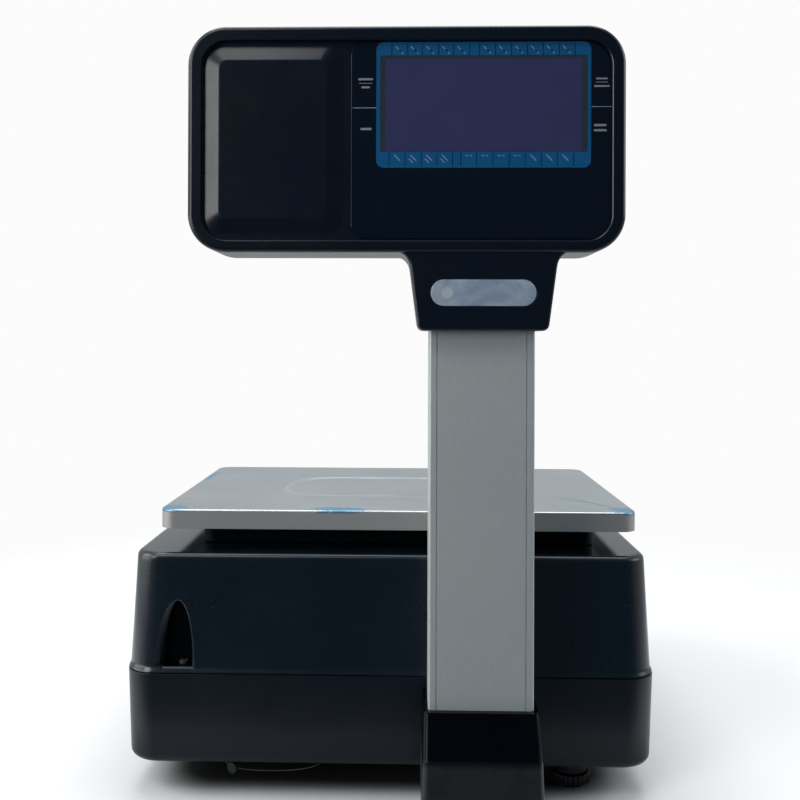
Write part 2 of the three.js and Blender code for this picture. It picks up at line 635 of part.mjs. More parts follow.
// The hole in the neck's lower edge that the column goes up through.
function columnHole() {
  const [w0, w1] = [HEAD.parting - POLE.front, HEAD.parting - POLE.front - POLE.depth];
  const half = POLE.width / 2 + GAP;
  return box([NECK.u - half, NECK.u + half], [-NECK.drop - 5, -NECK.drop + 8], [w1 - GAP, w0 + GAP]);
}

function buildHeadFront() {
  const face = HEAD.front - PANEL.drop;
  let body = join(headHull(1, 0), slab(neckOutline(), [0, HEAD.front - 2], 4));
  const panel = roundedRect(
    HEAD.width - 2 * PANEL.side,
    HEAD.height - PANEL.top - PANEL.bottom,
    HEAD.corner - 9,
    0,
    (HEAD.height - PANEL.top + PANEL.bottom) / 2,
  );
  body = cut(body, slab(panel, [face, HEAD.front + 1], 6));
  body = cut(body, headHull(1, HEAD_WALL), slab(neckBore(), [-1, HEAD.front - 5]), columnHole());
  const { u, v, width, height, run, rise } = BULGE;
  const [left, right, low, high] = [u - width / 2, u + width / 2, v - height / 2, v + height / 2];
  const level = (inset, w) => ring(left + inset, right - inset, low + inset, high - inset, 8 - inset / 4, w, 4);
  body = join(body, loft([level(0, face - 0.5), level(0, face), level(run, face + rise)]));
  for (const at of HEAD_SCREWS) {
    body = join(body, rod("z", 4.5, [1, face - 1], at, 12).intersect(headHull(1, 0)));
    body = cut(body, rod("z", 1.9, [-1, 10], at, 8));
  }
  const overlay = roundedRect(OVERLAY.width + 2 * GAP, OVERLAY.height + 2 * GAP, OVERLAY.corner, OVERLAY.u, OVERLAY.v);
  const badge = roundedRect(BADGE.width + 2 * GAP, BADGE.height + 2 * GAP, BADGE.height / 2, NECK.u, BADGE.v);
  return cut(
    body,
    slab(overlay, [face - 1, face + 3]),
    box([GLASS.u - 76, GLASS.u + 76], [GLASS.v - 37, GLASS.v + 37], [face - 4, face]),
    slab(badge, [HEAD.front - 3.2, HEAD.front]),
  );
}

const REAR_GLASS = { u: 0, v: 96, width: 150, height: 70 };
const REAR_OVERLAY = { u: 0, v: 79, width: 262, height: 128, corner: 12 };
const HEAD_SCREWS = [
  [-141, 12],
  [141, 12],
];

function buildHeadRear() {
  const face = REAR_DROP - HEAD.rear;
  let body = join(headHull(-1, 0), slab(neckOutline(), [REAR_DROP - HEAD.rear, -GAP], 4));
  body = cut(body, headHull(-1, HEAD_WALL), slab(neckBore(), [5 - HEAD.rear, 1]), columnHole());
  for (const at of HEAD_SCREWS) {
    body = join(body, rod("z", 5, [2 - HEAD.rear, -1], at, 12).intersect(headHull(-1, 0)));
    body = cut(body, rod("z", 1.9, [-HEAD.rear - 1, 1], at, 8), rod("z", 3.6, [-HEAD.rear - 1, 3 - HEAD.rear], at, 12));
  }
  const { u, v, width, height, corner } = REAR_OVERLAY;
  return cut(
    body,
    slab(roundedRect(width + 2 * GAP, height + 2 * GAP, corner, u, v), [-HEAD.rear - 1, face]),
    box([REAR_GLASS.u - 78, REAR_GLASS.u + 78], [REAR_GLASS.v - 38, REAR_GLASS.v + 38], [face - 1, face + 6]),
  );
}

function addHead() {
  const head = new THREE.Group();
  head.position.set(HEAD.x, HEAD.parting, HEAD.z);
  head.rotation.x = Math.PI / 2;
  scale.add(head);
  const face = HEAD.front - PANEL.drop;
  place("head_front", buildHeadFront(), BLACK, head);
  place("head_rear", buildHeadRear(), BLACK, head);
  const overlay = roundedRect(OVERLAY.width, OVERLAY.height, OVERLAY.corner, OVERLAY.u, OVERLAY.v);
  place("customer_window", slab(overlay, [face - 0.6, face - 0.6 + OVERLAY.thick]), GLOSS, head);
  place(
    "customer_lcd",
    box([GLASS.u - GLASS.width / 2, GLASS.u + GLASS.width / 2], [GLASS.v - 35, GLASS.v + 35], [face - 9, face - 1.4]),
    LCD,
    head,
  );
  const badge = roundedRect(BADGE.width, BADGE.height, BADGE.height / 2 - 0.01, NECK.u, BADGE.v);
  place("neck_badge", slab(badge, [HEAD.front - 2.8, HEAD.front - 2.8 + BADGE.thick], 5), BADGE_GREY, head);
  place("display_board", box([-20, 128], [60, 146], [-4, -2.4]).add(box([0, 20], [80, 100], [-3, 1])), BOARD, head);
  const rearFace = -HEAD.rear + 2;
  const rearOverlay = roundedRect(REAR_OVERLAY.width, REAR_OVERLAY.height, REAR_OVERLAY.corner, REAR_OVERLAY.u, REAR_OVERLAY.v);
  place("operator_window", slab(rearOverlay, [rearFace - 1.5, rearFace - GAP]), GLOSS, head);
  place(
    "operator_lcd",
    box([REAR_GLASS.u - 75, REAR_GLASS.u + 75], [REAR_GLASS.v - 36, REAR_GLASS.v + 36], [rearFace + 0.4, rearFace + 8]),
    LCD,
    head,
  );
  const plug = join(
    box([NECK.u - 34, NECK.u + 34], [-44, -8], [-18, 9]),
    box([NECK.u - 46, NECK.u + 46], [-9.6, -5], [-18, 9]),
  );
  const cableSlot = box([NECK.u - 12, NECK.u + 12], [-60, 0], [-16, -4]);
  place("neck_plug", cut(plug, cableSlot), NYLON, head);
  HEAD_SCREWS.forEach(([x, y], i) => {
    const screw = join(
      rod("z", 3.2, [-HEAD.rear + 0.6, -HEAD.rear + 2.8], [0, 0], 12),
      rod("z", 1.5, [-HEAD.rear + 2, 8], [0, 0], 8),
    );
    place(`head_screw_${i + 1}`, screw, STEEL, head, [x, y, 0]);
  });
}

// ---------------------------------------------------------------- label printer
const CHASSIS_PROFILE = [[-2, FLOOR], [215, FLOOR], [215, 118], [140, 152], [-2, 152]];
const OUTER_PLATE = { x0: -192, x1: -190 };
const OUTER_PROFILE = [[165, 51], [215, 51], [215, 118], [165, 138], [138, 138], [138, 112], [165, 100]];

const polygon = (points) => new THREE.Shape(points.map(([a, b]) => new THREE.Vector2(a, b)));

// A gear wheel about the X axis with straight-sided teeth; phase turns it by that many teeth.
function gear(teeth, bore, phase) {
  const pitch = (GEAR.module * teeth) / 2;
  const shape = new THREE.Shape();
  const outline = [
    [-0.36, pitch - 0.95],
    [-0.14, pitch + 0.7],
    [0.14, pitch + 0.7],
    [0.36, pitch - 0.95],
  ];
  for (let tooth = 0; tooth < teeth; tooth++)
    for (const [offset, radius] of outline) {
      const angle = ((tooth + offset + phase) / teeth) * 2 * Math.PI;
      shape[tooth || offset > -0.3 ? "lineTo" : "moveTo"](radius * Math.cos(angle), radius * Math.sin(angle));
    }
  return cut(slabAlongX(shape, [GEAR.x0, GEAR.x1]), rod("x", bore, [GEAR.x0 - 1, GEAR.x1 + 1], [0, 0], 12));
}

// The phase that puts a tooth (0) or a gap (0.5) on the line between the two gears' centres.
const toothAt = (teeth, offset) => (teeth * (GEAR.turn + (offset ? Math.PI : 0))) / (2 * Math.PI) + offset;

function buildPrinterChassis() {
  const at = { platen: [PLATEN.y, PLATEN.z], arm: [ARM.y, ARM.z], spool: [SPOOL.y, SPOOL.z] };
  let body = join(
    slabAlongX(polygon(CHASSIS_PROFILE), [PLATE.x0, PLATE.x1]),
    box([PLATE.x0, PLATE.x1 + 14], [-2, 215], [FLOOR, FLOOR + 2]),
    slabAlongX(polygon(OUTER_PROFILE), [OUTER_PLATE.x0, OUTER_PLATE.x1]),
    box([OUTER_PLATE.x0, PLATE.x0 + 1], [165, 212], [51, 53]),
  );
  const standoffs = [-1, 1].map((side) => rod("x", 2.5, [PLATE.x1 - 1, -107.6], [MOTOR.y + side * 12, MOTOR.z - side * 12], 12));
  const armPin = rod("x", 2, [OUTER_PLATE.x0, PLATE.x1], at.arm, 12);
  const peelBar = join(
    box([OUTER_PLATE.x0, PLATE.x1], [210, 212], [105, 109]),
    box([OUTER_PLATE.x0, PLATE.x1], [209, 212], [108, 110]),
  );
  body = join(body, ...standoffs, armPin, peelBar);
  return cut(
    body,
    rod("x", PLATEN.shaft + 0.3, [-200, -100], at.platen, 16),
    rod("x", 3.3, [-130, -100], at.spool, 12),
    rod("x", 7.6, [PLATE.x0 - 1, PLATE.x1 + 1], [MOTOR.y, MOTOR.z], 16),
    rod("x", 6.3, [PLATE.x0 - 1, PLATE.x1 + 1], [ROLL.y, ROLL.z], 16),
  );
}

function addPrinter() {
  place("printer_chassis", buildPrinterChassis(), ZINC);
  const roll = [ROLL.y, ROLL.z];
  const spindle = join(
    rod("x", 12.2, [ROLL.x0 - 4, -120], roll),
    rod("x", 26, [-122, PLATE.x0 - GAP], roll, 24),
    rod("x", 5.9, [-121, PLATE.x1 + 3], roll, 16),
  );
  place("roll_spindle", spindle, NYLON);
  place("roll_core", tube("x", 20, 12.8, [ROLL.x0 - 1, ROLL.x1 + 1], roll, 24), CARD);
  place("label_roll", tube("x", ROLL.radius, 20.6, [ROLL.x0, ROLL.x1], roll, 36), PAPER);

  const spool = [SPOOL.y, SPOOL.z];
  const spoolBody = join(
    rod("x", SPOOL.radius, [ROLL.x0, -120.5], spool, 20),
    rod("x", SPOOL.flange, [-122.5, -120.5], spool, 20),
    rod("x", 3, [-121, -106], spool, 12),
  );
  place("liner_spool", spoolBody, NYLON);

  const platen = [PLATEN.y, PLATEN.z];
  place("platen_shaft", rod("x", PLATEN.shaft, [-194, -107.6], platen, 12), STEEL);
  place("platen_roller", tube("x", PLATEN.radius, PLATEN.shaft + 0.3, [-184, -122], platen), RUBBER);
  place("platen_gear", gear(GEAR.teeth, PLATEN.shaft + 0.3, toothAt(GEAR.teeth, 0)), NYLON, scale, [0, ...platen]);
  place("motor_pinion", gear(GEAR.pinionTeeth, 2.3, toothAt(GEAR.pinionTeeth, 0.5)), NYLON, scale, [0, MOTOR.y, MOTOR.z]);
  const motor = join(
    rod("x", 14, [-106.5, -76], [MOTOR.y, MOTOR.z], 20),
    rod("x", 21, [-107.2, -106], [MOTOR.y, MOTOR.z], 20),
    rod("x", 2, [-115, -106], [MOTOR.y, MOTOR.z], 12),
  );
  place("feed_motor", motor, ZINC);

  const arm = [ARM.y, ARM.z];
  const armBody = join(
    rod("x", 4.4, [-184, -124], arm, 20),
    box([-180, -126], [ARM.y, 207], [119.2, 122.6]),
    box([-180, -126], [ARM.y, 156], [119.2, ARM.z]),
  );
  place("print_head_arm", cut(armBody, rod("x", 2.3, [-190, -120], arm, 12)), ALUMINIUM);
  place("print_head", box([-180, -126], [187, 206], [115.4, 118.9]), GLOSS);

  const opening = box([EXIT.x0 + 4, EXIT.x1 - 4], [200, 240], [EXIT.z0 + 4, EXIT.z1 - 4]);
  const sleeve = box([EXIT.x0 + GAP, EXIT.x1 - GAP], [226, 234], [EXIT.z0 + GAP, EXIT.z1 - GAP]);
  const flange = box([EXIT.x0 - 4, EXIT.x1 + 4], [233.6, BASE.front], [EXIT.z0 - 3, EXIT.z1 + 3]);
  place("label_bezel", cut(join(sleeve, flange), opening), BLACK);
}

// ---------------------------------------------------------------- electronics
const WALL_X = 204.3; // outside of the right-hand wall, where flanges seat

function buildInlet() {
  const { y, z } = INLET;
  const body = join(
    box([182, WALL_X + 0.1], [y - 13.6, y + 13.6], [z - 10.1, z + 10.1]),
    box([WALL_X, BASE.halfWidth], [y - 17, y + 17], [z - 13, z + 13]),
  );
  const socket = cut(body, box([188, 210], [y - 12, y + 12], [z - 8, z + 8]));
  const pins = [-7, 0, 7].map((at) => box([187, 200], [y + at - 1, y + at + 1], [z - 3 + (at ? 0 : 2), z + 2 + (at ? 0 : 2)]));
  return join(socket, ...pins);
}

function buildSwitchHousing() {
  const { y, z } = SWITCH;
  const body = join(
    box([188, WALL_X + 0.1], [y - 6.6, y + 6.6], [z - 9.6, z + 9.6]),
    box([WALL_X, BASE.halfWidth], [y - 8.5, y + 8.5], [z - 12, z + 12]),
  );
  return cut(body, box([192, 210], [y - 4.8, y + 4.8], [z - 7.7, z + 7.7]));
}

const ROCKER = { x: 198.6, tilt: Math.PI / 30, profile: [[-4, -3], [2, -6.6], [4.8, -6.6], [3.4, 0], [4.8, 6.6], [2, 6.6], [-4, 3]] };

function buildRocker() {
  const shape = polygon(ROCKER.profile);
  const solid = new THREE.ExtrudeGeometry(shape, { depth: 8.8, bevelEnabled: false });
  return toSolid(solid.rotateX(Math.PI / 2).translate(0, 4.4, 0));
}

function buildPortBlock() {
  const { y, z } = PORTS;
  const block = box([188, 203], [y - 41.6, y + 41.6], [z - 11.6, z + 11.6]);
  const sockets = [
    [-27, 14, 11, 15],
    [-6, 12, 9, 15],
    [12, 10, 5, 13],
    [30, 18, 10, 8],
  ];
  return cut(
    block,
    ...sockets.map(([at, width, height, deep]) =>
      box([203 - deep, 210], [y + at - width / 2, y + at + width / 2], [z - height / 2, z + height / 2]),
    ),
  );
}

function addElectronics() {
  place("power_inlet", buildInlet(), BLACK_SATIN);
  place("switch_housing", buildSwitchHousing(), BLACK_SATIN);
  const rocker = place("power_rocker", buildRocker(), BLACK_SATIN, scale, [ROCKER.x, SWITCH.y, SWITCH.z]);
  rocker.rotation.y = ROCKER.tilt;
  place("port_block", buildPortBlock(), ALUMINIUM);
  const board = join(
    box([110, 187], [0, 110], [BOARD_Z, BOARD_Z + 1.6]),
    box([122, 140], [40, 58], [BOARD_Z + 1, BOARD_Z + 4]),
    box([150, 158], [12, 40], [BOARD_Z + 1, BOARD_Z + 9]),
    rod("z", 5, [BOARD_Z + 1, BOARD_Z + 15], [130, 84], 16),
  );
  place("main_board", board, BOARD);
  place("power_supply", box([100, 176], [-112, -40], [FLOOR, 66]), ZINC);
}

// ---------------------------------------------------------------- seal
const SEAL = [-120.5, -150, 17.2];

function addSeal() {
  const [start, end] = SEAL_HOLES;
  const route = new THREE.CatmullRomCurve3([
    new THREE.Vector3(...start, 29),
    new THREE.Vector3(start[0] + 1, start[1] - 1, 22),
    new THREE.Vector3(...SEAL),
    new THREE.Vector3(-99, -150, 14.6),
    new THREE.Vector3(-61, -150, 17.4),
    new THREE.Vector3(end[0], end[1], 22),
    new THREE.Vector3(...end, 29),
  ]);
  const strand = (radius) => {
    const round = new THREE.Shape();
    round.absarc(0, 0, radius, 0, 2 * Math.PI);
    return toSolid(new THREE.ExtrudeGeometry(round, { steps: 24, curveSegments: 3, extrudePath: route }));
  };
  place("seal_wire", strand(0.5), STEEL);
  const plug = toGeometry(rod("y", 4.2, [-3, 3], [0, 0])).rotateZ(-0.5).translate(...SEAL);
  place("lead_seal", cut(toSolid(plug), strand(0.9)), LEAD);
}

addBase();
addWeighing();
addFeet();
addColumn();
addHead();
addPrinter();
addElectronics();
addSeal();

export default scale;
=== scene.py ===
"""Looks of the retail price scale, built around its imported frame. Metres, +Z up, customer at -Y."""
import math

import bpy
from mathutils import Matrix, Vector


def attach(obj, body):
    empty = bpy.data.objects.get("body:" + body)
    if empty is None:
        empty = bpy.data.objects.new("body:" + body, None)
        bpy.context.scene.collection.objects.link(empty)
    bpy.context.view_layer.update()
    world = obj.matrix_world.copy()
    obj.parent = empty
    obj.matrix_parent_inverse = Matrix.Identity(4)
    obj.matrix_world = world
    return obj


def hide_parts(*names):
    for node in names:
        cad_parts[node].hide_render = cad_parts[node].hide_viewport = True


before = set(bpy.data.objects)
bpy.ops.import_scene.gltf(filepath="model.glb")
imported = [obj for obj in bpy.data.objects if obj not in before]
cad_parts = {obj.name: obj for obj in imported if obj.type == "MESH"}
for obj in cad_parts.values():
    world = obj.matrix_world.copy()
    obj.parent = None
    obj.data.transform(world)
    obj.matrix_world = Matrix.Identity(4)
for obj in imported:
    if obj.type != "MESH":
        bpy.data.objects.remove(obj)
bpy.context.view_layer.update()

MM = 0.001

# ---- the frame's own measures, mm
BASE_X, BASE_Y0, BASE_Y1, CORNER = 205.0, -165.0, 235.0, 24.0
PAN_Z, SEAM = 24.0, 94.0
SLOPE_Y0, SLOPE_Z0, SLOPE_Y1, SLOPE_Z1 = 112.0, 185.0, 229.0, 128.0
SLOPE_A = math.atan2(SLOPE_Z0 - SLOPE_Z1, SLOPE_Y1 - SLOPE_Y0)
SLOPE_L = math.hypot(SLOPE_Y1 - SLOPE_Y0, SLOPE_Z0 - SLOPE_Z1)
# Middle of the weighing works, middle of the column, and the head's lower middle.
WORKS = (6.0, -23.0)
POLE_X, POLE_Y = 67.0, -191.0
HEAD = (12.0, -198.0, 412.0)
HEAD_W, HEAD_H, HEAD_FRONT, HEAD_REAR = 308.4, 159.6, 25.0, 33.0
NECK_U = POLE_X - HEAD[0]
FEET = [(144, -127), (-144, -78), (150, 190), (-150, 190)]
GAP = 0.4


# ---- mesh helpers
def placed(name, data):
    obj = bpy.data.objects.new(name, data)
    bpy.context.scene.collection.objects.link(obj)
    return obj


def mesh_object(name, verts, faces):
    mesh = bpy.data.meshes.new(name)
    mesh.from_pydata([Vector(v) * MM for v in verts], [], faces)
    return placed(name, mesh)


def rect(x0, x1, y0, y1, r, arc=10):
    """Points of a rounded rectangle, counter-clockwise."""
    points = []
    corners = [(x1 - r, y0 + r), (x1 - r, y1 - r), (x0 + r, y1 - r), (x0 + r, y0 + r)]
    for (cx, cy), start in zip(corners, (-90, 0, 90, 180)):
        for i in range(arc + 1):
            a = math.radians(start + 90 * i / arc)
            points.append((cx + r * math.cos(a), cy + r * math.sin(a)))
    return points


def circle(r, cx=0.0, cy=0.0, n=48):
    turns = [2 * math.pi * i / n for i in range(n)]
    return [(cx + r * math.cos(a), cy + r * math.sin(a)) for a in turns]


def bend(a, b, c, n=8):
    """Points of a quadratic curve from a to c."""
    return [
        tuple((1 - t) ** 2 * a[k] + 2 * t * (1 - t) * b[k] + t * t * c[k] for k in (0, 1))
        for t in (i / n for i in range(n + 1))
    ]


def offset(points, d):
    """A counter-clockwise outline moved inwards by d."""
    out = []
    for i, (x, y) in enumerate(points):
        (ax, ay), (bx, by) = points[i - 1], points[(i + 1) % len(points)]
        n1, n2 = Vector((y - ay, ax - x)), Vector((by - y, x - bx))
        n1 = n1.normalized() if n1.length > 1e-9 else n2.normalized()
        n2 = n2.normalized() if n2.length > 1e-9 else n1
        n = (n1 + n2).normalized()
        k = d / max(0.5, n.dot(n1))
        out.append((x - n.x * k, y - n.y * k))
    return out


def loft(name, rings, turn=None):
    """A closed body through rings of (x, y, z), the first and last ones capped."""
    n = len(rings[0])
    verts = [p for ring in rings for p in ring]
    faces = [tuple(reversed(range(n)))]
    for r in range(len(rings) - 1):
        for i in range(n):
            a, b = r * n + i, r * n + (i + 1) % n
            faces.append((a, b, b + n, a + n))
    faces.append(tuple(range((len(rings) - 1) * n, len(rings) * n)))
    if turn:
        verts = [turn(*v) for v in verts]
    return mesh_object(name, verts, faces)


def rounding(r, at, side=1, steps=5):
    """(inset, level) pairs of a quarter-round edge that ends at level at, going up (side 1) or down."""
    turns = [math.pi / 2 * i / steps for i in range(steps + 1)]
    pairs = [(r * (1 - math.cos(t)), at - side * r * (1 - math.sin(t))) for t in turns]
    return pairs if side > 0 else pairs[::-1]


def slab(name, outline, low, high, top=0.0, bottom=0.0, turn=None, steps=4):
    """An outline pushed from low to high, with rounded top and bottom edges."""
    profile = rounding(bottom, low, -1, steps) if bottom else [(0, low)]
    profile += rounding(top, high, 1, steps) if top else [(0, high)]
    rings = [[(x, y, level) for x, y in offset(outline, inset)] for inset, level in profile]
    return loft(name, rings, turn)


def block(x, y, z):
    corners = [(x[0], y[0]), (x[1], y[0]), (x[1], y[1]), (x[0], y[1])]
    return loft("cutter", [[(px, py, k) for px, py in corners] for k in z])


def rod(axis, r, span, at, n=32, name="cutter"):
    turn = {
        "x": lambda a, b, c: (c, a, b),
        "y": lambda a, b, c: (b, c, a),
        "z": lambda a, b, c: (a, b, c),
    }[axis]
    a, b = at if axis != "y" else (at[1], at[0])
    return loft(name, [[(p, q, k) for p, q in circle(r, a, b, n)] for k in span], turn)


def boolean(target, operation, tools):
    for tool in tools:
        mod = target.modifiers.new("csg", "BOOLEAN")
        mod.operation = operation
        mod.object = tool
        mod.solver = "MANIFOLD"
        bpy.context.view_layer.update()
        graph = bpy.context.evaluated_depsgraph_get()
        made = bpy.data.meshes.new_from_object(target.evaluated_get(graph))
        target.modifiers.clear()
        spent = target.data
        target.data = made
        bpy.data.meshes.remove(spent)
        bpy.data.objects.remove(tool)
    return target


def cut(target, *tools):
    return boolean(target, "DIFFERENCE", tools)


def join(target, *tools):
    return boolean(target, "UNION", tools)


def meet(target, *tools):
    return boolean(target, "INTERSECT", tools)


def merged(name, objects):
    """Separate bodies gathered in one object."""
    verts, faces = [], []
    for obj in objects:
        start = len(verts)
        verts += [v.co / MM for v in obj.data.vertices]
        faces += [tuple(start + i for i in p.vertices) for p in obj.data.polygons]
        bpy.data.objects.remove(obj)
    return mesh_object(name, verts, faces)


def soften(obj, angle, bevel):
    """Smooth shading with flat faces kept flat, and a small bevel on sharp edges if asked."""
    if bevel:
        mod = obj.modifiers.new("bevel", "BEVEL")
        mod.width = bevel * MM
        mod.segments = 2
        mod.limit_method = "ANGLE"
        mod.angle_limit = math.radians(angle)
        mod.use_clamp_overlap = True
        mod.miter_outer = "MITER_ARC"
    obj.data.polygons.foreach_set("use_smooth", [True] * len(obj.data.polygons))
    obj.data.set_sharp_from_angle(angle=math.radians(angle))
    mod = obj.modifiers.new("normals", "WEIGHTED_NORMAL")
    mod.keep_sharp = not bevel
    mod.weight = 60


def piece(obj, name, material, body="base", replaces=None, angle=32, bevel=0.0):
    """Names, shades, paints and mounts one visible piece."""
    obj.name = name
    obj.data.materials.clear()
    obj.data.materials.append(material)
    soften(obj, angle, bevel)
    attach(obj, body)
    if replaces:
        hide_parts(replaces)


# ---- materials
class Nodes:
    """A small helper for building the node tree of a material, or of the world."""

    def __init__(self, name, world=None):
        self.owner = world or bpy.data.materials.new(name)
        self.owner.use_nodes = True
        self.tree = self.owner.node_tree
        self.shader = next(n for n in self.tree.nodes if n.type in ("BSDF_PRINCIPLED", "BACKGROUND"))
        texture = self.tree.nodes.new("ShaderNodeTexCoord")
        self.coords = texture.outputs["Generated" if world else "Object"]

    def feed(self, socket, value):
        if isinstance(value, bpy.types.NodeSocket):
            self.tree.links.new(value, socket)
        else:
            socket.default_value = value

    def node(self, kind, inputs=(), **settings):
        made = self.tree.nodes.new(kind)
        for key, value in settings.items():
            setattr(made, key, value)
        for key, value in dict(inputs).items():
            self.feed(made.inputs[key], value)
        return made

    def stretched(self, scale):
        return self.node("ShaderNodeMapping", {"Vector": self.coords, "Scale": scale}).outputs[0]

    def noise(self, scale, detail=4.0, rough=0.55, coords=None, distortion=0.0):
        inputs = {"Vector": coords or self.coords, "Scale": scale, "Detail": detail, "Roughness": rough}
        inputs["Distortion"] = distortion
        return self.node("ShaderNodeTexNoise", inputs).outputs["Fac"]

    def ranged(self, value, low, high, from_low=0.3, from_high=0.7, kind="LINEAR"):
        inputs = {"Value": value, "From Min": from_low, "From Max": from_high, "To Min": low, "To Max": high}
        return self.node("ShaderNodeMapRange", inputs, interpolation_type=kind).outputs[0]

    def mottled(self, color, spread, scale, detail=5.0):
        """A colour that wanders by a share of itself either way."""
        cloud = self.ranged(self.noise(scale, detail), 0.0, 1.0)
        return self.mix(cloud, rgba(color, 1 - spread), rgba(color, 1 + spread))

    def mix(self, factor, a, b):
        made = self.tree.nodes.new("ShaderNodeMix")
        made.data_type = "RGBA"
        for key, value in ((0, factor), (6, a), (7, b)):
            self.feed(made.inputs[key], value)
        return made.outputs[2]

    def add(self, a, b, operation="ADD"):
        return self.node("ShaderNodeMath", {0: a, 1: b}, operation=operation).outputs[0]

    def times(self, a, b):
        return self.add(a, b, "MULTIPLY")

    def vector(self, operation, a, b=None):
        inputs = {0: a} if b is None else {0: a, 1: b}
        made = self.node("ShaderNodeVectorMath", inputs, operation=operation)
        return made.outputs["Value" if operation in ("LENGTH", "DISTANCE") else 0]

    def axes(self):
        return self.node("ShaderNodeSeparateXYZ", {0: self.coords}).outputs

    def dusted(self, dark, light, dust, least=0.66):
        """A moulding's slow change of tone, with a little dust in patches."""
        base = self.mix(self.ranged(self.noise(14.0, 5.0), 0.0, 1.0), dark, light)
        specks = self.ranged(self.noise(420.0, 2.0, 0.6), 0.0, dust, least, 0.8)
        patches = self.ranged(self.noise(9.0, 3.0), 0.0, 1.0, 0.45, 0.65)
        return self.mix(self.times(specks, patches), base, DUST)

    def satin(self, low, high):
        """A moulding's uneven gloss."""
        return self.ranged(self.noise(22.0, 6.0, 0.65), low, high)

    def eroded(self, grain):
        """A moulding's fine spark-eroded grain over slow waves."""
        waves = self.bump(self.noise(11.0, 1.0), 0.10, 0.0012)
        return self.bump(self.noise(1900.0, 2.0, 0.5), grain, 0.00006, waves)

    def bump(self, height, strength, distance, normal=None):
        inputs = {"Height": height, "Strength": strength, "Distance": distance}
        if normal is not None:
            inputs["Normal"] = normal
        return self.node("ShaderNodeBump", inputs).outputs[0]

    def set(self, **values):
        for key, value in values.items():
            self.feed(self.shader.inputs[key.replace("_", " ")], value)
        return self.owner


DUST = (0.16, 0.165, 0.17, 1.0)


def rgba(color, gain):
    return (color[0] * gain, color[1] * gain, color[2] * gain, 1.0)


def moulded(name, color, rough, grain=0.12, dust=0.0):
    """Injection-moulded plastic: fine eroded texture, slow waves, uneven gloss and a little dust."""
    m = Nodes(name)
    base = m.dusted(rgba(color, 0.82), rgba(color, 1.2), dust)
    return m.set(Base_Color=base, Roughness=m.satin(rough * 0.88, rough * 1.16), Normal=m.eroded(grain))


def metal(name, color, rough, along=None, stretch=40.0, scale=60.0, strength=0.12, metallic=1.0):
    """Sheet or milled metal, with brush lines along one axis if asked."""
    m = Nodes(name)
    k = [1.0, 1.0, 1.0]
    if along is not None:
        k = [stretch] * 3
        k[along] = 1.0
    lines = m.noise(scale, 5.0, 0.6, m.stretched(k))
    cloud = m.noise(16.0, 4.0)
    base = m.mix(m.ranged(lines, 0.0, 1.0), rgba(color, 0.93), rgba(color, 1.07))
    base = m.mix(m.ranged(cloud, 0.0, 0.5), base, rgba(color, 0.92))
    gloss = m.add(m.ranged(lines, -0.05, 0.05), m.ranged(cloud, rough * 0.9, rough * 1.12))
    return m.set(Base_Color=base, Metallic=metallic, Roughness=gloss, Normal=m.bump(lines, strength, 0.00012))


def zinc(name, color, rough):
    """Zinc-plated sheet, with faint spangles."""
    m = Nodes(name)
    cells = m.node("ShaderNodeTexVoronoi", {"Vector": m.coords, "Scale": 190.0}).outputs["Color"]
    shade = m.node("ShaderNodeSeparateColor", {0: cells}).outputs[0]
    base = m.mix(shade, rgba(color, 0.86), rgba(color, 1.12))
    gloss = m.ranged(m.noise(40.0), rough * 0.85, rough * 1.2)
    return m.set(Base_Color=base, Metallic=1.0, Roughness=gloss, Normal=m.bump(m.noise(600.0), 0.06, 0.0001))


def plain(name, color, rough, scale=60.0, spread=0.1, grain=900.0, strength=0.1, distance=0.0001, **more):
    """Rubber, paper, card, nylon and the like: a mottled colour and a fine grain."""
    m = Nodes(name)
    base = m.mottled(color, spread, scale)
    gloss = m.ranged(m.noise(scale * 1.7), rough * 0.9, rough * 1.1)
    skin = m.bump(m.noise(grain, 3.0), strength, distance)
    return m.set(Base_Color=base, Roughness=gloss, Normal=skin, **more)


def printed(name, color, rough=0.16, spread=0.08):
    """Screen-printed ink behind a glossy film, with wipe marks in the gloss."""
    m = Nodes(name)
    base = m.mottled(color, spread, 45.0, 4.0)
    smear = m.noise(26.0, 5.0, 0.7, m.stretched((1.0, 1.0, 3.2)), 0.6)
    gloss = m.ranged(smear, rough * 0.7, rough * 1.7)
    return m.set(Base_Color=base, Roughness=gloss, Normal=m.bump(m.noise(30.0, 2.0), 0.03, 0.0006), IOR=1.5)


# Middle x and y, half length, half width in metres, and turn in radians of each scrap of film.
FILM_SCRAPS = [
    (-0.174, -0.1400, 0.022, 0.0120, 0.10),
    (-0.038, -0.1415, 0.024, 0.0100, 0.00),
    (0.185, -0.1370, 0.014, 0.0120, -0.45),
    (0.168, -0.1090, 0.046, 0.0017, -1.03),
    (0.150, -0.0900, 0.040, 0.0013, -0.80),
    (-0.1765, 0.0300, 0.0040, 0.030, 0.00),
]


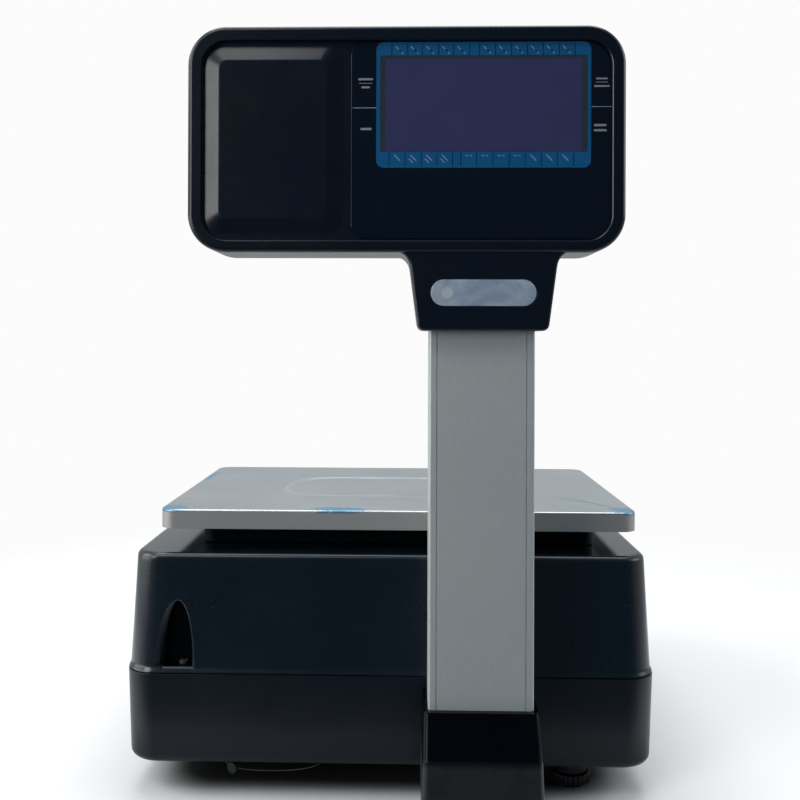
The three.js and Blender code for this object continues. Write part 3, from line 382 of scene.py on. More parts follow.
def platter_steel():
    """Brushed stainless sheet with scraps of blue film left near its edges. Its skirt is painted paler,
    warmer and less metallic than the top: painted light.
    """
    m = Nodes("platter_steel")
    lines = m.noise(34.0, 6.0, 0.62, m.stretched((1.0, 46.0, 46.0)))
    cloud = m.noise(9.0, 4.0, 0.6)
    base = m.mix(m.ranged(lines, 0.0, 1.0), (0.46, 0.485, 0.50, 1), (0.56, 0.585, 0.60, 1))
    axes = m.axes()
    # Painted light: below the top, the skirt is paler, warmer and less metallic.
    painted_skirt_light = m.ranged(axes[2], 1.0, 0.0, 0.2150, 0.2162)
    base = m.mix(painted_skirt_light, base, (0.47, 0.46, 0.435, 1))
    ragged = m.ranged(m.noise(90.0, 5.0, 0.7, m.stretched((1.0, 2.0, 1.0)), 1.2), -0.5, 0.5)
    film = None
    for x, y, half, width, turn in FILM_SCRAPS:
        place = {"Vector": m.coords, "Location": (x, y, 0.0)}
        place |= {"Rotation": (0.0, 0.0, turn), "Scale": (half, width, 100.0)}
        spot = m.node("ShaderNodeMapping", place, vector_type="TEXTURE").outputs[0]
        scrap = m.ranged(m.add(m.vector("LENGTH", spot), ragged), 0.75, 0.0, 0.7, 1.0)
        film = scrap if film is None else m.add(film, scrap, "MAXIMUM")
    film = m.times(film, m.ranged(axes[2], 0.0, 1.0, 0.2142, 0.2150))
    base = m.mix(film, base, (0.018, 0.23, 0.40, 1))
    gloss = m.add(m.ranged(lines, -0.04, 0.05), m.ranged(cloud, 0.30, 0.39))
    # Less metallic on the film, and on the skirt as painted light.
    shine = m.ranged(m.add(film, painted_skirt_light, "MAXIMUM"), 1.0, 0.45, 0.0, 1.0)
    return m.set(Base_Color=base, Metallic=shine, Roughness=gloss, Normal=m.bump(lines, 0.07, 0.0001))


def badge_plate():
    """Silver-grey badge with a clouded print and a faint round spot near one end."""
    m = Nodes("badge_plate")
    cloud = m.noise(32.0, 5.0, 0.6, m.stretched((1.0, 1.0, 1.6)), 0.8)
    base = m.mix(m.ranged(cloud, 0.0, 1.0, 0.42, 0.6), (0.345, 0.435, 0.58, 1), (0.53, 0.61, 0.68, 1))
    spot = (POLE_X - 25.5, -221.0, 383.5)
    away = m.vector("DISTANCE", m.coords, [c * MM for c in spot])
    disc = m.ranged(away, 0.7, 0.0, 0.0038, 0.0045)
    base = m.mix(disc, base, (0.70, 0.75, 0.78, 1))
    return m.set(Base_Color=base, Metallic=0.25, Roughness=m.ranged(cloud, 0.3, 0.42), Coat_Weight=0.4)


COVER_TONE = (0.0030, 0.0088, 0.0150)
WALL_LEAN = 0.052


def pocket_shade_mask(m, axes):
    """Where the painted shade goes: one inside the cover's screw pocket and nought outside it. Its back
    follows the lean of the wall.
    """
    behind = m.ranged(m.add(axes[1], m.times(axes[2], -WALL_LEAN)), 0.0, 1.0, -0.1670, -0.1650)
    beside = m.ranged(m.add(m.add(axes[0], 0.1625), 0.0, "ABSOLUTE"), 1.0, 0.0, 0.0135, 0.0145)
    below = m.ranged(axes[2], 1.0, 0.0, 0.1490, 0.1510)
    outside = m.ranged(axes[1], 1.0, 0.0, -0.1496, -0.1494)
    return m.times(m.times(behind, beside), m.times(below, outside))


def cover_plastic():
    """The cover's moulding: polished on its flat top, satin on its walls, with painted shade inside the screw
    pocket (near-black colour, weaker reflection) and a painted highlight (stronger reflection) on its left
    corner.
    """
    m = Nodes("cover_plastic")
    base = m.dusted(rgba(COVER_TONE, 0.82), rgba(COVER_TONE, 1.2), 0.22, 0.67)
    axes = m.axes()
    pocket = pocket_shade_mask(m, axes)
    # Painted shade: the colour turns near black inside the screw pocket.
    base = m.mix(pocket, base, (0.0002, 0.0008, 0.0022, 1))
    top = m.ranged(axes[2], 0.0, 1.0, 0.1846, 0.1849)
    gloss = m.times(m.satin(0.225, 0.29), m.ranged(top, 1.0, 0.42, 0.0, 1.0))
    # Painted shade and painted highlight: the reflection is weakened inside the pocket and strengthened on
    # the left corner only.
    shine = m.ranged(pocket, 1.0, 0.24, 0.0, 1.0)
    left_corner_highlight = m.ranged(axes[0], 0.9, 0.5, -0.193, -0.168)
    painted_reflection_level = m.times(shine, left_corner_highlight)
    return m.set(Base_Color=base, Roughness=gloss, Normal=m.eroded(0.06), Specular_IOR_Level=painted_reflection_level)


def pan_plastic():
    """The pan's satin moulding, with painted shade: its reflection is weakened towards its corners and its
    lower edge.
    """
    m = Nodes("pan_plastic")
    base = m.dusted((0.0026, 0.0050, 0.0088, 1), (0.0037, 0.0070, 0.0120, 1), 0.2)
    axes = m.axes()
    # Painted shade: the reflection is weaker towards the corners and the lower edge.
    ends = m.ranged(m.add(axes[0], 0.0, "ABSOLUTE"), 0.5, 0.19, 0.186, 0.202)
    low = m.ranged(axes[2], 0.45, 1.0, 0.028, 0.052)
    painted_reflection_level = m.times(ends, low)
    gloss = m.satin(0.27, 0.36)
    return m.set(Base_Color=base, Roughness=gloss, Normal=m.eroded(0.12), Specular_IOR_Level=painted_reflection_level)


def shoe_plastic():
    """Glossy black moulding. Below the slanted part it is painted paler and more reflective in patches:
    painted light.
    """
    m = Nodes("shoe_plastic")
    patchiness = m.ranged(m.noise(60.0, 5.0, 0.7), 0.75, 1.2)
    # Painted light: the band below the slanted part is paler, rougher and more reflective, patchy with noise.
    painted_light_band = m.times(m.ranged(m.axes()[2], 1.0, 0.0, 0.0530, 0.0590), patchiness)
    base = m.mix(painted_light_band, (0.0004, 0.0012, 0.0028, 1), (0.0150, 0.0172, 0.0190, 1))
    gloss = m.ranged(painted_light_band, 0.20, 0.42, 0.0, 1.0)
    shine = m.ranged(painted_light_band, 0.12, 0.45, 0.0, 1.0)
    skin = m.bump(m.noise(1500.0, 2.0), 0.06, 0.00005)
    return m.set(Base_Color=base, Roughness=gloss, Normal=skin, Specular_IOR_Level=shine)


def board_green():
    """Circuit board: green mask over faint copper tracks."""
    m = Nodes("board_green")
    grid = m.node("ShaderNodeTexBrick", {"Vector": m.stretched((90, 90, 90)), "Scale": 6.0}).outputs["Fac"]
    base = m.mix(grid, (0.012, 0.10, 0.045, 1), (0.03, 0.17, 0.07, 1))
    gloss = m.ranged(m.noise(50.0), 0.3, 0.45)
    return m.set(Base_Color=base, Roughness=gloss, Normal=m.bump(grid, 0.2, 0.0001))


DOOR = moulded("door_plastic", COVER_TONE, 0.26, 0.08, dust=0.2)
PAN = pan_plastic()
HEADBLACK = moulded("head_plastic", (0.0012, 0.0046, 0.0110), 0.25, 0.06, dust=0.15)
INNER = moulded("inner_plastic", (0.003, 0.0045, 0.007), 0.45, 0.2)
SHOE_PLASTIC = shoe_plastic()
# Black carrier plastic, made darker and less reflective than the other inner plastic as painted shade for the
# shade under the platter.
BLOCK = plain(
    "block_plastic", (0.0007, 0.0018, 0.0036), 0.5, 14.0, 0.2, 1900.0, 0.1, 0.00006, Specular_IOR_Level=0.1
)
FOOT = plain(
    "foot_coating", (0.0020, 0.0026, 0.0034), 0.34, 80.0, 0.2, 700.0, 0.15, 0.00008, Specular_IOR_Level=0.35
)
WIRE = metal("seal_wire", (0.075, 0.062, 0.052), 0.5, metallic=0.5)
POLE = metal("column_metal", (0.57, 0.605, 0.585), 0.46, 2, 30.0, 70.0, 0.08, 0.35)
PLATTER = platter_steel()
ZINC = zinc("zinc_steel", (0.55, 0.56, 0.56), 0.36)
CELL = metal("cell_aluminium", (0.60, 0.61, 0.61), 0.34, along=1, strength=0.2)
SCREW = metal("screw_steel", (0.55, 0.55, 0.53), 0.28)
RUBBER = plain("rubber_pad", (0.018, 0.018, 0.018), 0.8, strength=0.3)
GLOSS = printed("window_gloss", (0.0012, 0.0046, 0.0125), 0.10, 0.1)
LCD_GLASS = printed("lcd_glass", (0.043, 0.046, 0.125), 0.13, 0.05)
LCD_EDGE = printed("lcd_edge", (0.030, 0.040, 0.052), 0.14)
BLUE = printed("print_blue", (0.007, 0.105, 0.262), 0.14, 0.06)
NAVY = printed("print_navy", (0.002, 0.012, 0.05), 0.14)
WHITE = printed("print_white", (0.27, 0.29, 0.31), 0.3)
PALE = printed("print_pale", (0.16, 0.27, 0.38), 0.3)
BADGE = badge_plate()
FILM = printed("keypad_film", (0.035, 0.055, 0.085), 0.28)
KEY_WHITE = printed("key_white", (0.60, 0.62, 0.62), 0.3, 0.03)
KEY_BLUE = printed("key_blue", (0.05, 0.17, 0.38), 0.3)
KEY_RED = printed("key_red", (0.50, 0.05, 0.04), 0.3)
KEY_GREEN = printed("key_green", (0.05, 0.30, 0.12), 0.3)
BOARD = board_green()
CARD = plain("core_card", (0.42, 0.29, 0.17), 0.85, 70.0, 0.15, 700.0, 0.3)
NYLON = plain("nylon", (0.66, 0.64, 0.56), 0.42, 50.0, 0.06)
LEAD = plain("lead", (0.009, 0.012, 0.013), 0.5, 200.0, 0.3, 300.0, 0.5, 0.0003, Specular_IOR_Level=0.25)
VIAL = plain("vial", (0.42, 0.56, 0.05), 0.08, 30.0, 0.05, 40.0, 0.02, Coat_Weight=1.0, Coat_Roughness=0.03)


# ---- base mouldings
def plan(inset, z):
    """The base's outline at a level, as a ring of points."""
    r = CORNER - min(inset, 12) / 2
    outline = rect(-BASE_X + inset, BASE_X - inset, BASE_Y0 + inset, BASE_Y1 - inset, r, 12)
    return [(x, y, z) for x, y in outline]


def pan_inset(z):
    return 2.2 * (SEAM - z) / (SEAM - PAN_Z)


def cover_inset(z):
    return 1.8 + 4.2 * (z - 99) / 81


def on_slope(x, s, h):
    """A point x across, s down the slope from its upper edge, h out of it."""
    c, d = math.cos(SLOPE_A), math.sin(SLOPE_A)
    return (x, SLOPE_Y0 + s * c + h * d, SLOPE_Z0 - s * d + h * c)


def above_slope(depth):
    """What lies above the keyboard's face, with eased ridges at its upper and lower edges."""
    upper = (SLOPE_Y0, SLOPE_Z0)
    flat_dir, slope_dir = (-1.0, 0.0), (math.cos(SLOPE_A), -math.sin(SLOPE_A))
    ease = 9.0
    a = (upper[0] + flat_dir[0] * ease, upper[1])
    b = (upper[0] + slope_dir[0] * ease, upper[1] + slope_dir[1] * ease)
    ridge = bend(a, upper, b)
    curve = [(SLOPE_Y0 - 60, SLOPE_Z0 + 0.02), (ridge[0][0], ridge[0][1] + 0.02)] + ridge[1:]
    end = (SLOPE_Y1, SLOPE_Z1)
    curve.append((end[0] + slope_dir[0] * 60, end[1] + slope_dir[1] * 60))
    lowered = [(y - depth * math.sin(SLOPE_A), z - depth / math.cos(SLOPE_A) * 0.98) for y, z in curve]
    outline = lowered + [(SLOPE_Y1 + 90, 320), (SLOPE_Y0 - 60, 320)]
    return loft("cutter", [[(x, y, z) for y, z in outline] for x in (-300, 300)])


def doorway(gap):
    return block((-260, -190), (-30 - gap, 122 + gap), (58 - gap, 168 + gap))


HINGE = (-202.4, 60.0)
KNUCKLES = [(-22, -10), (102, 114)]
POSTS = [(-178, -138), (178, -138), (-100, 222), (178, 208)]


def opening(y, z, width, height):
    return block((190, 210), (y - width / 2, y + width / 2), (z - height / 2, z + height / 2))


def pan_body():
    """The hollow pan with its foot collars and screw posts."""
    levels = []
    for i in range(9):
        t = math.pi / 2 * i / 8
        z = PAN_Z + 7 * (1 - math.cos(t))
        levels.append(plan(pan_inset(z) + 6.6 * (1 - math.sin(t)), z))
    levels += [plan(0.05, SEAM - 0.9), plan(0.3, SEAM - 0.25), plan(0.9, SEAM)]
    hollow_levels = ((27, 6), (29, 2.5), (32, 0.5), (36, 0), (96, 0))
    hollow = [plan(pan_inset(z) + 3 + extra, z) for z, extra in hollow_levels]
    pan = cut(loft("pan", levels), loft("cutter", hollow))
    for x, y in FEET:
        pan = join(pan, slab("boss", circle(13.5, x, y), 10.2, 16, bottom=0.7))
        pan = join(pan, slab("boss", circle(15, x, y), 14, 26, bottom=0.9), rod("z", 8, (25, 50), (x, y)))
    return join(pan, *[rod("z", 5, (25, 44), at, 20) for at in POSTS])


def make_pan():
    pan = pan_body()
    for at in FEET:
        pan = cut(pan, rod("z", 4.4, (9, 51), at))
    heads = [rod("z", 4.6, (23, 28), at) for at in POSTS]
    shanks = [rod("z", 2.4, (20, 50), at, 16) for at in POSTS]
    pan = cut(pan, *heads, *shanks)
    pan = cut(
        pan,
        doorway(0),
        rod("y", 3.0, (-30, 122), HINGE),
        opening(-95, 50, 28, 21),
        opening(-62, 50, 14, 20),
        opening(62, 50, 84, 24),
        block((POLE_X - 14, POLE_X + 14), (-170, -157), (50, 66)),
        rod("z", 1.8, (22, 30), (-131, -146), 16),
        rod("z", 1.8, (22, 30), (-51, -148), 16),
    )
    pan = join(pan, *[rod("y", 2.6, span, HINGE) for span in KNUCKLES])
    piece(pan, "pan_shell", PAN, replaces="base_pan")


def arch(left, right, low, high):
    """A bullet-shaped outline in x, z, counter-clockwise."""
    n = 14
    middle = (left + right) / 2 - 0.6
    points = [(left, low), (right, low)]
    for x, side in ((right, 1), (left, -1)):
        run = []
        for i in range(n + 1):
            t = i / n
            a, b, c, d = (x, low + 4), (x, low + 30), (middle + side * 5.2, high), (middle, high)
            k = ((1 - t) ** 3, 3 * t * (1 - t) ** 2, 3 * t * t * (1 - t), t ** 3)
            run.append(tuple(sum(w * p[j] for w, p in zip(k, (a, b, c, d))) for j in (0, 1)))
        points += run if side > 0 else run[-2::-1]
    return points


def along_y(outline, levels, lean=0.0):
    """A cutter through outlines in x, z at given y values, from the front backwards, leaning with a wall."""
    rings = []
    for inset, y in reversed(levels):
        rings.append([(x, y + lean * (z - 99), z) for x, z in offset(outline, inset)])
    return loft("cutter", rings)


def cover_levels():
    levels = [plan(0.75, SEAM + GAP), plan(0.35, SEAM + 0.8), plan(0.5, SEAM + 1.6)]
    for t in (0.25, 0.5, 0.75, 1):
        levels.append(plan(0.5 + 1.3 * math.sin(math.pi / 2 * t), SEAM + 1.6 + 4 * t))
    levels += [plan(cover_inset(z), z) for z in (104, 140, 178)]
    for i in range(1, 8):
        t = math.pi / 2 * i / 7
        levels.append(plan(cover_inset(180) + 4.8 * (1 - math.cos(t)), 180.2 + 4.8 * math.sin(t)))
    return levels


def rim(inset):
    """The collar under the platter's carrier."""
    cx, cy = WORKS
    return rect(cx - 152.7 + inset, cx + 152.7 - inset, cy - 90 + inset, cy + 90 - inset, 10)


def well(grow):
    """The mouth that the cell's post comes up through."""
    cx, cy = WORKS
    return rect(cx - 35 - grow, cx + 35 + grow, cy - 28 - grow, cy + 28 + grow, 8 + grow)


def sink_pocket(cover):
    """The arched screw pocket: its wall, its flared mouth, and a hollow swept out to the left."""
    outline = arch(-172.8, -151.2, 99, 148)
    behind = along_y(offset(outline, -2.4), [(0, -170), (0, -147)])
    cover = join(cover, meet(behind, loft("cutter", cover_levels())))
    flare = [(-2.5, -164.4), (-2.3, -163.2), (-1.3, -162.75), (-0.6, -162.2), (-0.2, -161.4)]
    flare += [(0, -160.2), (0.3, -152.0)]
    cover = cut(cover, along_y(outline, flare, 4.2 / 81), rod("z", 2.3, (92, 100), (-159, -154), 16))
    sweep = [(arch(-183.0, -152.2, 99.6, 152), -166.0), (arch(-181.0, -152.2, 99.6, 151), -163.4)]
    sweep += [(arch(-178.0, -152.8, 99.6, 149), -161.4), (arch(-172.4, -153.4, 99.6, 146), -158.2)]
    return cut(cover, loft("cutter", [[(x, y, z) for x, z in points] for points, y in reversed(sweep)]))


def make_cover():
    cover = cut(loft("cover", cover_levels()), above_slope(0))
    cover = join(cover, slab("collar", rim(0), 183, 192.5, top=1.2))
    inner = [plan(cover_inset(z) + 3, z) for z in (93, 178)] + [plan(cover_inset(180) + 6, 182)]
    hollow = cut(loft("cutter", inner), above_slope(3))
    cover = cut(cover, join(hollow, slab("cutter", rim(3), 178, 189.5)))
    cover = join(cover, slab("rim", well(2.5), 191, 198.5, top=0.8))
    cover = sink_pocket(cut(cover, slab("cutter", well(0), 180, 205)))
    cover = cut(
        cover,
        doorway(0),
        block((-189, -119), (223, 240), (102, 119)),
        slab("cutter", rect(-146.4, 190.4, 8.6, SLOPE_L - 8.6, 4), -1.4, 6, turn=on_slope),
        slab("cutter", circle(8.4, -170, 34), -12, 5, turn=on_slope),
    )
    piece(cover, "cover_shell", cover_plastic(), replaces="top_cover")


def across(a, b, c):
    """Turns an outline in y and z, pushed along x, into place."""
    return (c, a, b)


def make_door():
    def hull(extra):
        rings = [plan(pan_inset(50) + extra, 50), plan(0.1 + extra, SEAM), plan(1.8 + extra, 99)]
        return loft("door", rings + [plan(cover_inset(175) + extra, 175)])

    door = meet(cut(hull(0), hull(3)), doorway(-GAP))
    door = cut(door, *[rod("y", 3.0, (a - GAP, b + GAP), HINGE) for a, b in KNUCKLES])
    door = join(door, rod("y", 2.6, (-9.6, 101.6), HINGE), block((-197.2, -195), (37, 55), (154, 167.6)))
    scoop = slab("cutter", rect(31, 61, 150, 172, 6), -206, -199.2, turn=across)
    door = cut(door, rod("y", 1.35, (-30, 122), HINGE, 16), scoop)
    lines = []
    for z in (108, 116, 124, 132):
        groove = rect(-18, 110, z - 0.7, z + 0.7, 0.6, 3)
        lines.append(slab("cutter", groove, -206, -203.1 + WALL_LEAN * (z - 100), turn=across))
    door = cut(door, *lines)
    piece(door, "door_shell", DOOR, "door", "side_door", bevel=0.5)


# ---- weighing works
def ring_of(width, depth, r, z):
    cx, cy = WORKS
    outline = rect(cx - width / 2, cx + width / 2, cy - depth / 2, cy + depth / 2, r, 12)
    return [(x, y, z) for x, y in outline]


PLATTER_X, PLATTER_Y, PANEL_X = 373.4, 250.0, 214.0
PANEL_STEPS = [(0, 0), (0.7, 0.1), (1.8, 0.55), (3.0, 1.0), (4.0, 1.2), (7.5, 1.2)]
PANEL_STEPS += [(9.0, 1.1), (10.5, 0.65), (12.0, 0.4), (14.0, 0.35)]


def platter_face(z, sheet):
    """Rings of one face, from the hem up and in to the pressed centre panel."""
    rings = [ring_of(PLATTER_X - 2 * sheet, PLATTER_Y - 2 * sheet, 12 - sheet, 202.0)]
    for i in range(7):
        t = math.pi / 2 * i / 6
        inset = (1.7 - sheet * 0.5) * (1 - math.cos(t)) + sheet
        level = z - 1.7 + 1.7 * math.sin(t)
        rings.append(ring_of(PLATTER_X - 2 * inset, PLATTER_Y - 2 * inset, 12 - inset / 2, level))
    for inset, drop in PANEL_STEPS:
        rings.append(ring_of(PANEL_X - 2 * inset, PANEL_X * 0.535 - 2 * inset, 48 - inset, z - drop))
    return rings


def make_platter():
    plate = loft("platter", platter_face(215.8, 1.2)[::-1] + platter_face(217.0, 0.0))
    piece(plate, "platter_sheet", PLATTER, "platter", "platter", angle=40)


BUTTONS = [(WORKS[0] + sx * 125, WORKS[1] + sy * 72) for sx in (-1, 1) for sy in (-1, 1)]


def carrier_block(inset, low, high, r):
    cx, cy = WORKS
    outline = rect(cx - 158.7 + inset, cx + 158.7 - inset, cy - 96 + inset, cy + 96 - inset, 10)
    return slab("carrier", outline, low, high, top=r)


def make_carrier():
    body = cut(carrier_block(0, 186.2, 213, 2.6), carrier_block(3, 180, 208, 0))
    ribs = [block((-150.7, 162.7), (y - 1.5, y + 1.5), (199, 209)) for y in (-73, 27)]
    body = join(body, *ribs, rod("z", 16, (197, 209), WORKS))
    body = cut(body, *[rod("z", 4.3, (205, 214), at) for at in BUTTONS])
    piece(body, "carrier_shell", BLOCK, replaces="platter_carrier")


def make_buttons():
    for i, (x, y) in enumerate(BUTTONS, 1):
        top = slab("button", circle(8, x, y), 213.2, 215.6, top=0.9)
        top = join(top, rod("z", 3.8, (206, 214), (x, y)))
        piece(top, f"button_{i}", RUBBER, replaces=f"rest_button_{i}")


# ---- feet
TEETH = 24
TOOTH = (14.9, 15.5, 15.95, 16.0, 15.95, 15.5)


def make_feet():
    for i, (x, y) in enumerate(FEET, 1):
        outline = []
        for k in range(TEETH * len(TOOTH)):
            r = TOOTH[k % len(TOOTH)]
            a = 2 * math.pi * k / (TEETH * len(TOOTH))
            outline.append((x + r * math.cos(a), y + r * math.sin(a)))
        wheel = slab("wheel", outline, 1.6, 9.8, top=0.9, bottom=0.9, steps=3)
        wheel = join(wheel, rod("z", 4, (9, 46), (x, y)))
        piece(wheel, f"wheel_{i}", FOOT, f"foot_wheel_{i}", f"foot_wheel_{i}")
        pad = slab("pad", circle(12.5, x, y), 0, 1.2, top=0.2, bottom=0.3)
        piece(pad, f"pad_{i}", RUBBER, f"foot_{i}", f"foot_pad_{i}")


# ---- column
def make_pole():
    x, y = POLE_X, POLE_Y
    outer = rect(x - 37.7, x + 37.7, y - 19, y + 19, 1.8, 6)
    inner = rect(x - 35.5, x + 35.5, y - 16.8, y + 16.8, 2)
    pole = cut(slab("pole", outer, 25, 402, top=0.3, bottom=0.3), slab("cutter", inner, 20, 410))
    for middle, width in ((x - 32, 0.9), (x + 32, 1.0)):
        for wall in (y - 19, y + 19):
            sides = (middle - width / 2, middle + width / 2)
            pole = cut(pole, block(sides, (wall - 0.55, wall + 0.55), (20, 420)))
    pole = cut(pole, block((x - 13, x + 13), (y + 13, y + 25), (48, 68)))
    piece(pole, "pole_tube", POLE, replaces="pole")


# Level, half width and front of the shoe, and of its hollow.
SHOE = [(24.0, 42.5, -234.8), (25.0, 42.8, -235.0), (50, 42.25, -231.2), (57.2, 42.1, -230.1)]
SHOE += [(58.4, 42.05, -229.5), (62, 42.0, -227.3), (75, 41.8, -220.3), (83.6, 41.6, -215.7)]
SHOE += [(84.7, 41.5, -215.0), (85.6, 41.2, -214.7), (86.2, 40.8, -214.9), (86.5, 40.2, -215.3)]
SHOE_HOLLOW = [(23, 40, -232), (57, 39.4, -226.8), (82, 39.2, -214)]


def shoe_body(name, levels, back, r, arc):
    rings = []
    for z, half, front in levels:
        outline = rect(POLE_X - half, POLE_X + half, front, back, r, arc)
        rings.append([(px, py, z) for px, py in outline])
    return loft(name, rings)


def make_shoe():
    x, y, back = POLE_X, POLE_Y, BASE_Y0 - 1.0
    shoe = cut(shoe_body("shoe", SHOE, back, 5, 8), shoe_body("cutter", SHOE_HOLLOW, back - 2.5, 4, 10))
    bore = slab("cutter", rect(x - 38.1, x + 38.1, y - 19.4, y + 19.4, 4), 80, 90)
    shoe = cut(shoe, bore, block((x - 13, x + 13), (back - 6, back + 3), (48, 68)))
    shoe = cut(shoe, block((x - 37, x + 37), (back - 6, back + 3), (15, 25.5)))
    piece(shoe, "shoe_shell", SHOE_PLASTIC, replaces="pole_shoe")


# ---- head
def face(u, v, w):
    """The head's face frame: u right as the customer sees it, v up, w towards the customer."""
    return (HEAD[0] + u, HEAD[1] - w, HEAD[2] + v)


def neck_outline():
    u, top, low, drop = NECK_U, 53.0, 46.0, 55.0
    left = bend((u - top - 10, 1), (u - top, 0), (u - top + 1.2, -10))
    left += bend((u - low - 0.6, 5 - drop), (u - low, -drop), (u - low + 5, -drop))
    right = [(2 * u - a, b) for a, b in reversed(left)]
    return left + right + [(u + top, 12), (u - top, 12)]


def head_outline():
    return rect(-HEAD_W / 2, HEAD_W / 2, 0.0, HEAD_H, 27, 16)


# Inset and rise of the raised panel left of the customer's window.
BULGE = [(0, -0.5), (0, 0.02), (0.8, 0.1), (1.8, 0.3), (3.0, 0.62), (7.0, 1.9), (10.6, 3.05)]
BULGE += [(11.4, 3.24), (12.4, 3.3)]


FIXINGS = (-141, 141)


def recess(outline, floor, surface, flare=0.9):
    """A cutter with an eased floor edge and a flared mouth."""
    steps = [(0.5, floor), (0.12, floor + 0.2), (0, floor + 0.5), (0, surface - flare)]
    steps += [(-flare * 0.3, surface - flare * 0.4), (-flare, surface + 0.02), (-flare, surface + 2)]
    return loft("cutter", [[(x, y, w) for x, y in offset(outline, i)] for i, w in steps], face)


def make_head_front():
    front = slab("front", head_outline(), 0, HEAD_FRONT, top=3.6, turn=face, steps=8)
    neck = slab("neck", neck_outline(), 0, HEAD_FRONT - 2, top=2.4, turn=face, steps=6)
    front = join(front, neck)
    floor = HEAD_FRONT - 4
    front = cut(front, recess(rect(-144.2, 144.2, 8.5, 149.1, 18, 14), floor, HEAD_FRONT))
    raised = []
    for inset, rise in BULGE:
        r = 12 - 0.55 * inset
        outline = rect(inset - 143.4, -44.0 - inset, 12.7 + inset, 146.7 - inset, r, 8)
        raised.append([(x, y, floor + rise) for x, y in outline])
    front = join(front, loft("bulge", raised, face))
    seat = rect(-39.0, 145.8, 9.4, 150.2, 11, 10)
    front = cut(front, slab("cutter", seat, floor - 1, HEAD_FRONT - 3.2, turn=face))
    badge = rect(NECK_U - 37.4, NECK_U + 37.4, -38.0, -18.6, 9.6, 12)
    front = cut(front, recess(badge, HEAD_FRONT - 3.2, HEAD_FRONT - 2, 0.4))
    piece(front, "head_front_shell", HEADBLACK, replaces="head_front", angle=28)


def make_head_rear():
    back = -HEAD_REAR
    rear = slab("rear", head_outline(), back, -GAP, bottom=6.5, top=0.4, turn=face, steps=8)
    neck = slab("neck", neck_outline(), 2 + back, -GAP, bottom=3.0, top=0.3, turn=face, steps=5)
    rear = join(rear, neck)
    window = slab("cutter", rect(-131.4, 131.4, 14.6, 143.4, 12), back - 1, 2 + back, turn=face)
    holes = [slab("cutter", circle(3.6, x, 12), back - 1, 3 + back, turn=face) for x in FIXINGS]
    rear = cut(rear, window, *holes)
    piece(rear, "head_rear_shell", HEADBLACK, replaces="head_rear", angle=28)


def make_badge():
    outline = rect(NECK_U - 37, NECK_U + 37, -37.6, -19.0, 9.25, 12)
    plate = slab("badge", outline, 22.2, 23.6, top=0.45, turn=face)
    piece(plate, "badge", BADGE, replaces="neck_badge")


def make_head_screws():
    back, bottom = -HEAD_REAR, 1.7 - HEAD_REAR
    for i, x in enumerate(FIXINGS, 1):
        screw = slab("screw", circle(3.2, x, 12), 0.6 + back, 2.8 + back, bottom=0.7, turn=face)
        level = slab("cutter", rect(x - 2, x + 2, 11.55, 12.45, 0.1, 2), back, bottom, turn=face)
        upright = slab("cutter", rect(x - 0.45, x + 0.45, 10, 14, 0.1, 2), back, bottom, turn=face)
        screw = cut(screw, level, upright)
        piece(screw, f"head_fixing_{i}", SCREW, replaces=f"head_screw_{i}")


def mark(name, sides, w, material, side=1):
    """One layer of a display: a thin patch on a flat face, between left, right, low and high sides."""
    span = (w, w + FINE) if side > 0 else (w - FINE, w)
    piece(slab(name, rect(*sides, 0.5, 4), *span, turn=face), name, material)


def strip(name, patches, w, material, thick, side=1, tilt=0.0):
    """Many small printed patches (u, v, width, height) as one piece."""
    made = []
    span = (w, w + thick) if side > 0 else (w - thick, w)
    c, s = math.cos(tilt), math.sin(tilt)
    for u, v, width, height in patches:
        r = min(width, height) * 0.45
        outline = rect(-width / 2, width / 2, -height / 2, height / 2, r, 2)
        outline = [(u + a * c - b * s, v + a * s + b * c) for a, b in outline]
        made.append(slab(name, outline, *span, turn=face))
    piece(merged(name, made), name, material)


PANE_TOP, INK, FINE = 21.7, 0.05, 0.03
# Places of the dividers across the window, mm.
UPPER = [-9.9035, 1.2742, 11.538, 23.0672, 33.6825, 44.8602, 51.7496]
UPPER += [62.9976, 74.1753, 85.4233, 96.3198, 107.5678, 118.6752]
LOWER = [-11.661, -0.3427, 10.9756, 22.083, 33.1201, 38.8144, 49.9218]
LOWER += [61.451, 72.8396, 83.947, 95.3356, 106.443, 117.8316]


def middles(row):
    """The middles of a row's wide cells. Its one narrow cell stays blank."""
    return [(a + b) / 2 for a, b in zip(row, row[1:]) if b - a > 8.4]


def make_customer_window():
    pane = slab("pane", rect(-38.6, 145.4, 9.8, 149.8, 11, 12), 20.4, PANE_TOP, top=0.4, turn=face)
    piece(pane, "window_pane", GLOSS, replaces="customer_window")
    top = PANE_TOP
    ring = slab("frame", rect(-20.8, 130.0, 59.8, 148.4, 5.2, 8), top, top + INK, turn=face)
    window = slab("cutter", rect(-18.1, 127.6, 71.0, 139.0, 0.6, 2), top - 1, top + 1, turn=face)
    piece(cut(ring, window), "print_frame", BLUE)
    mark("lcd_surround", (-18.0, 127.5, 71.1, 138.9), top, LCD_EDGE)
    mark("lcd_area", (-14.4, 123.6, 71.5, 136.6), top + FINE, LCD_GLASS)


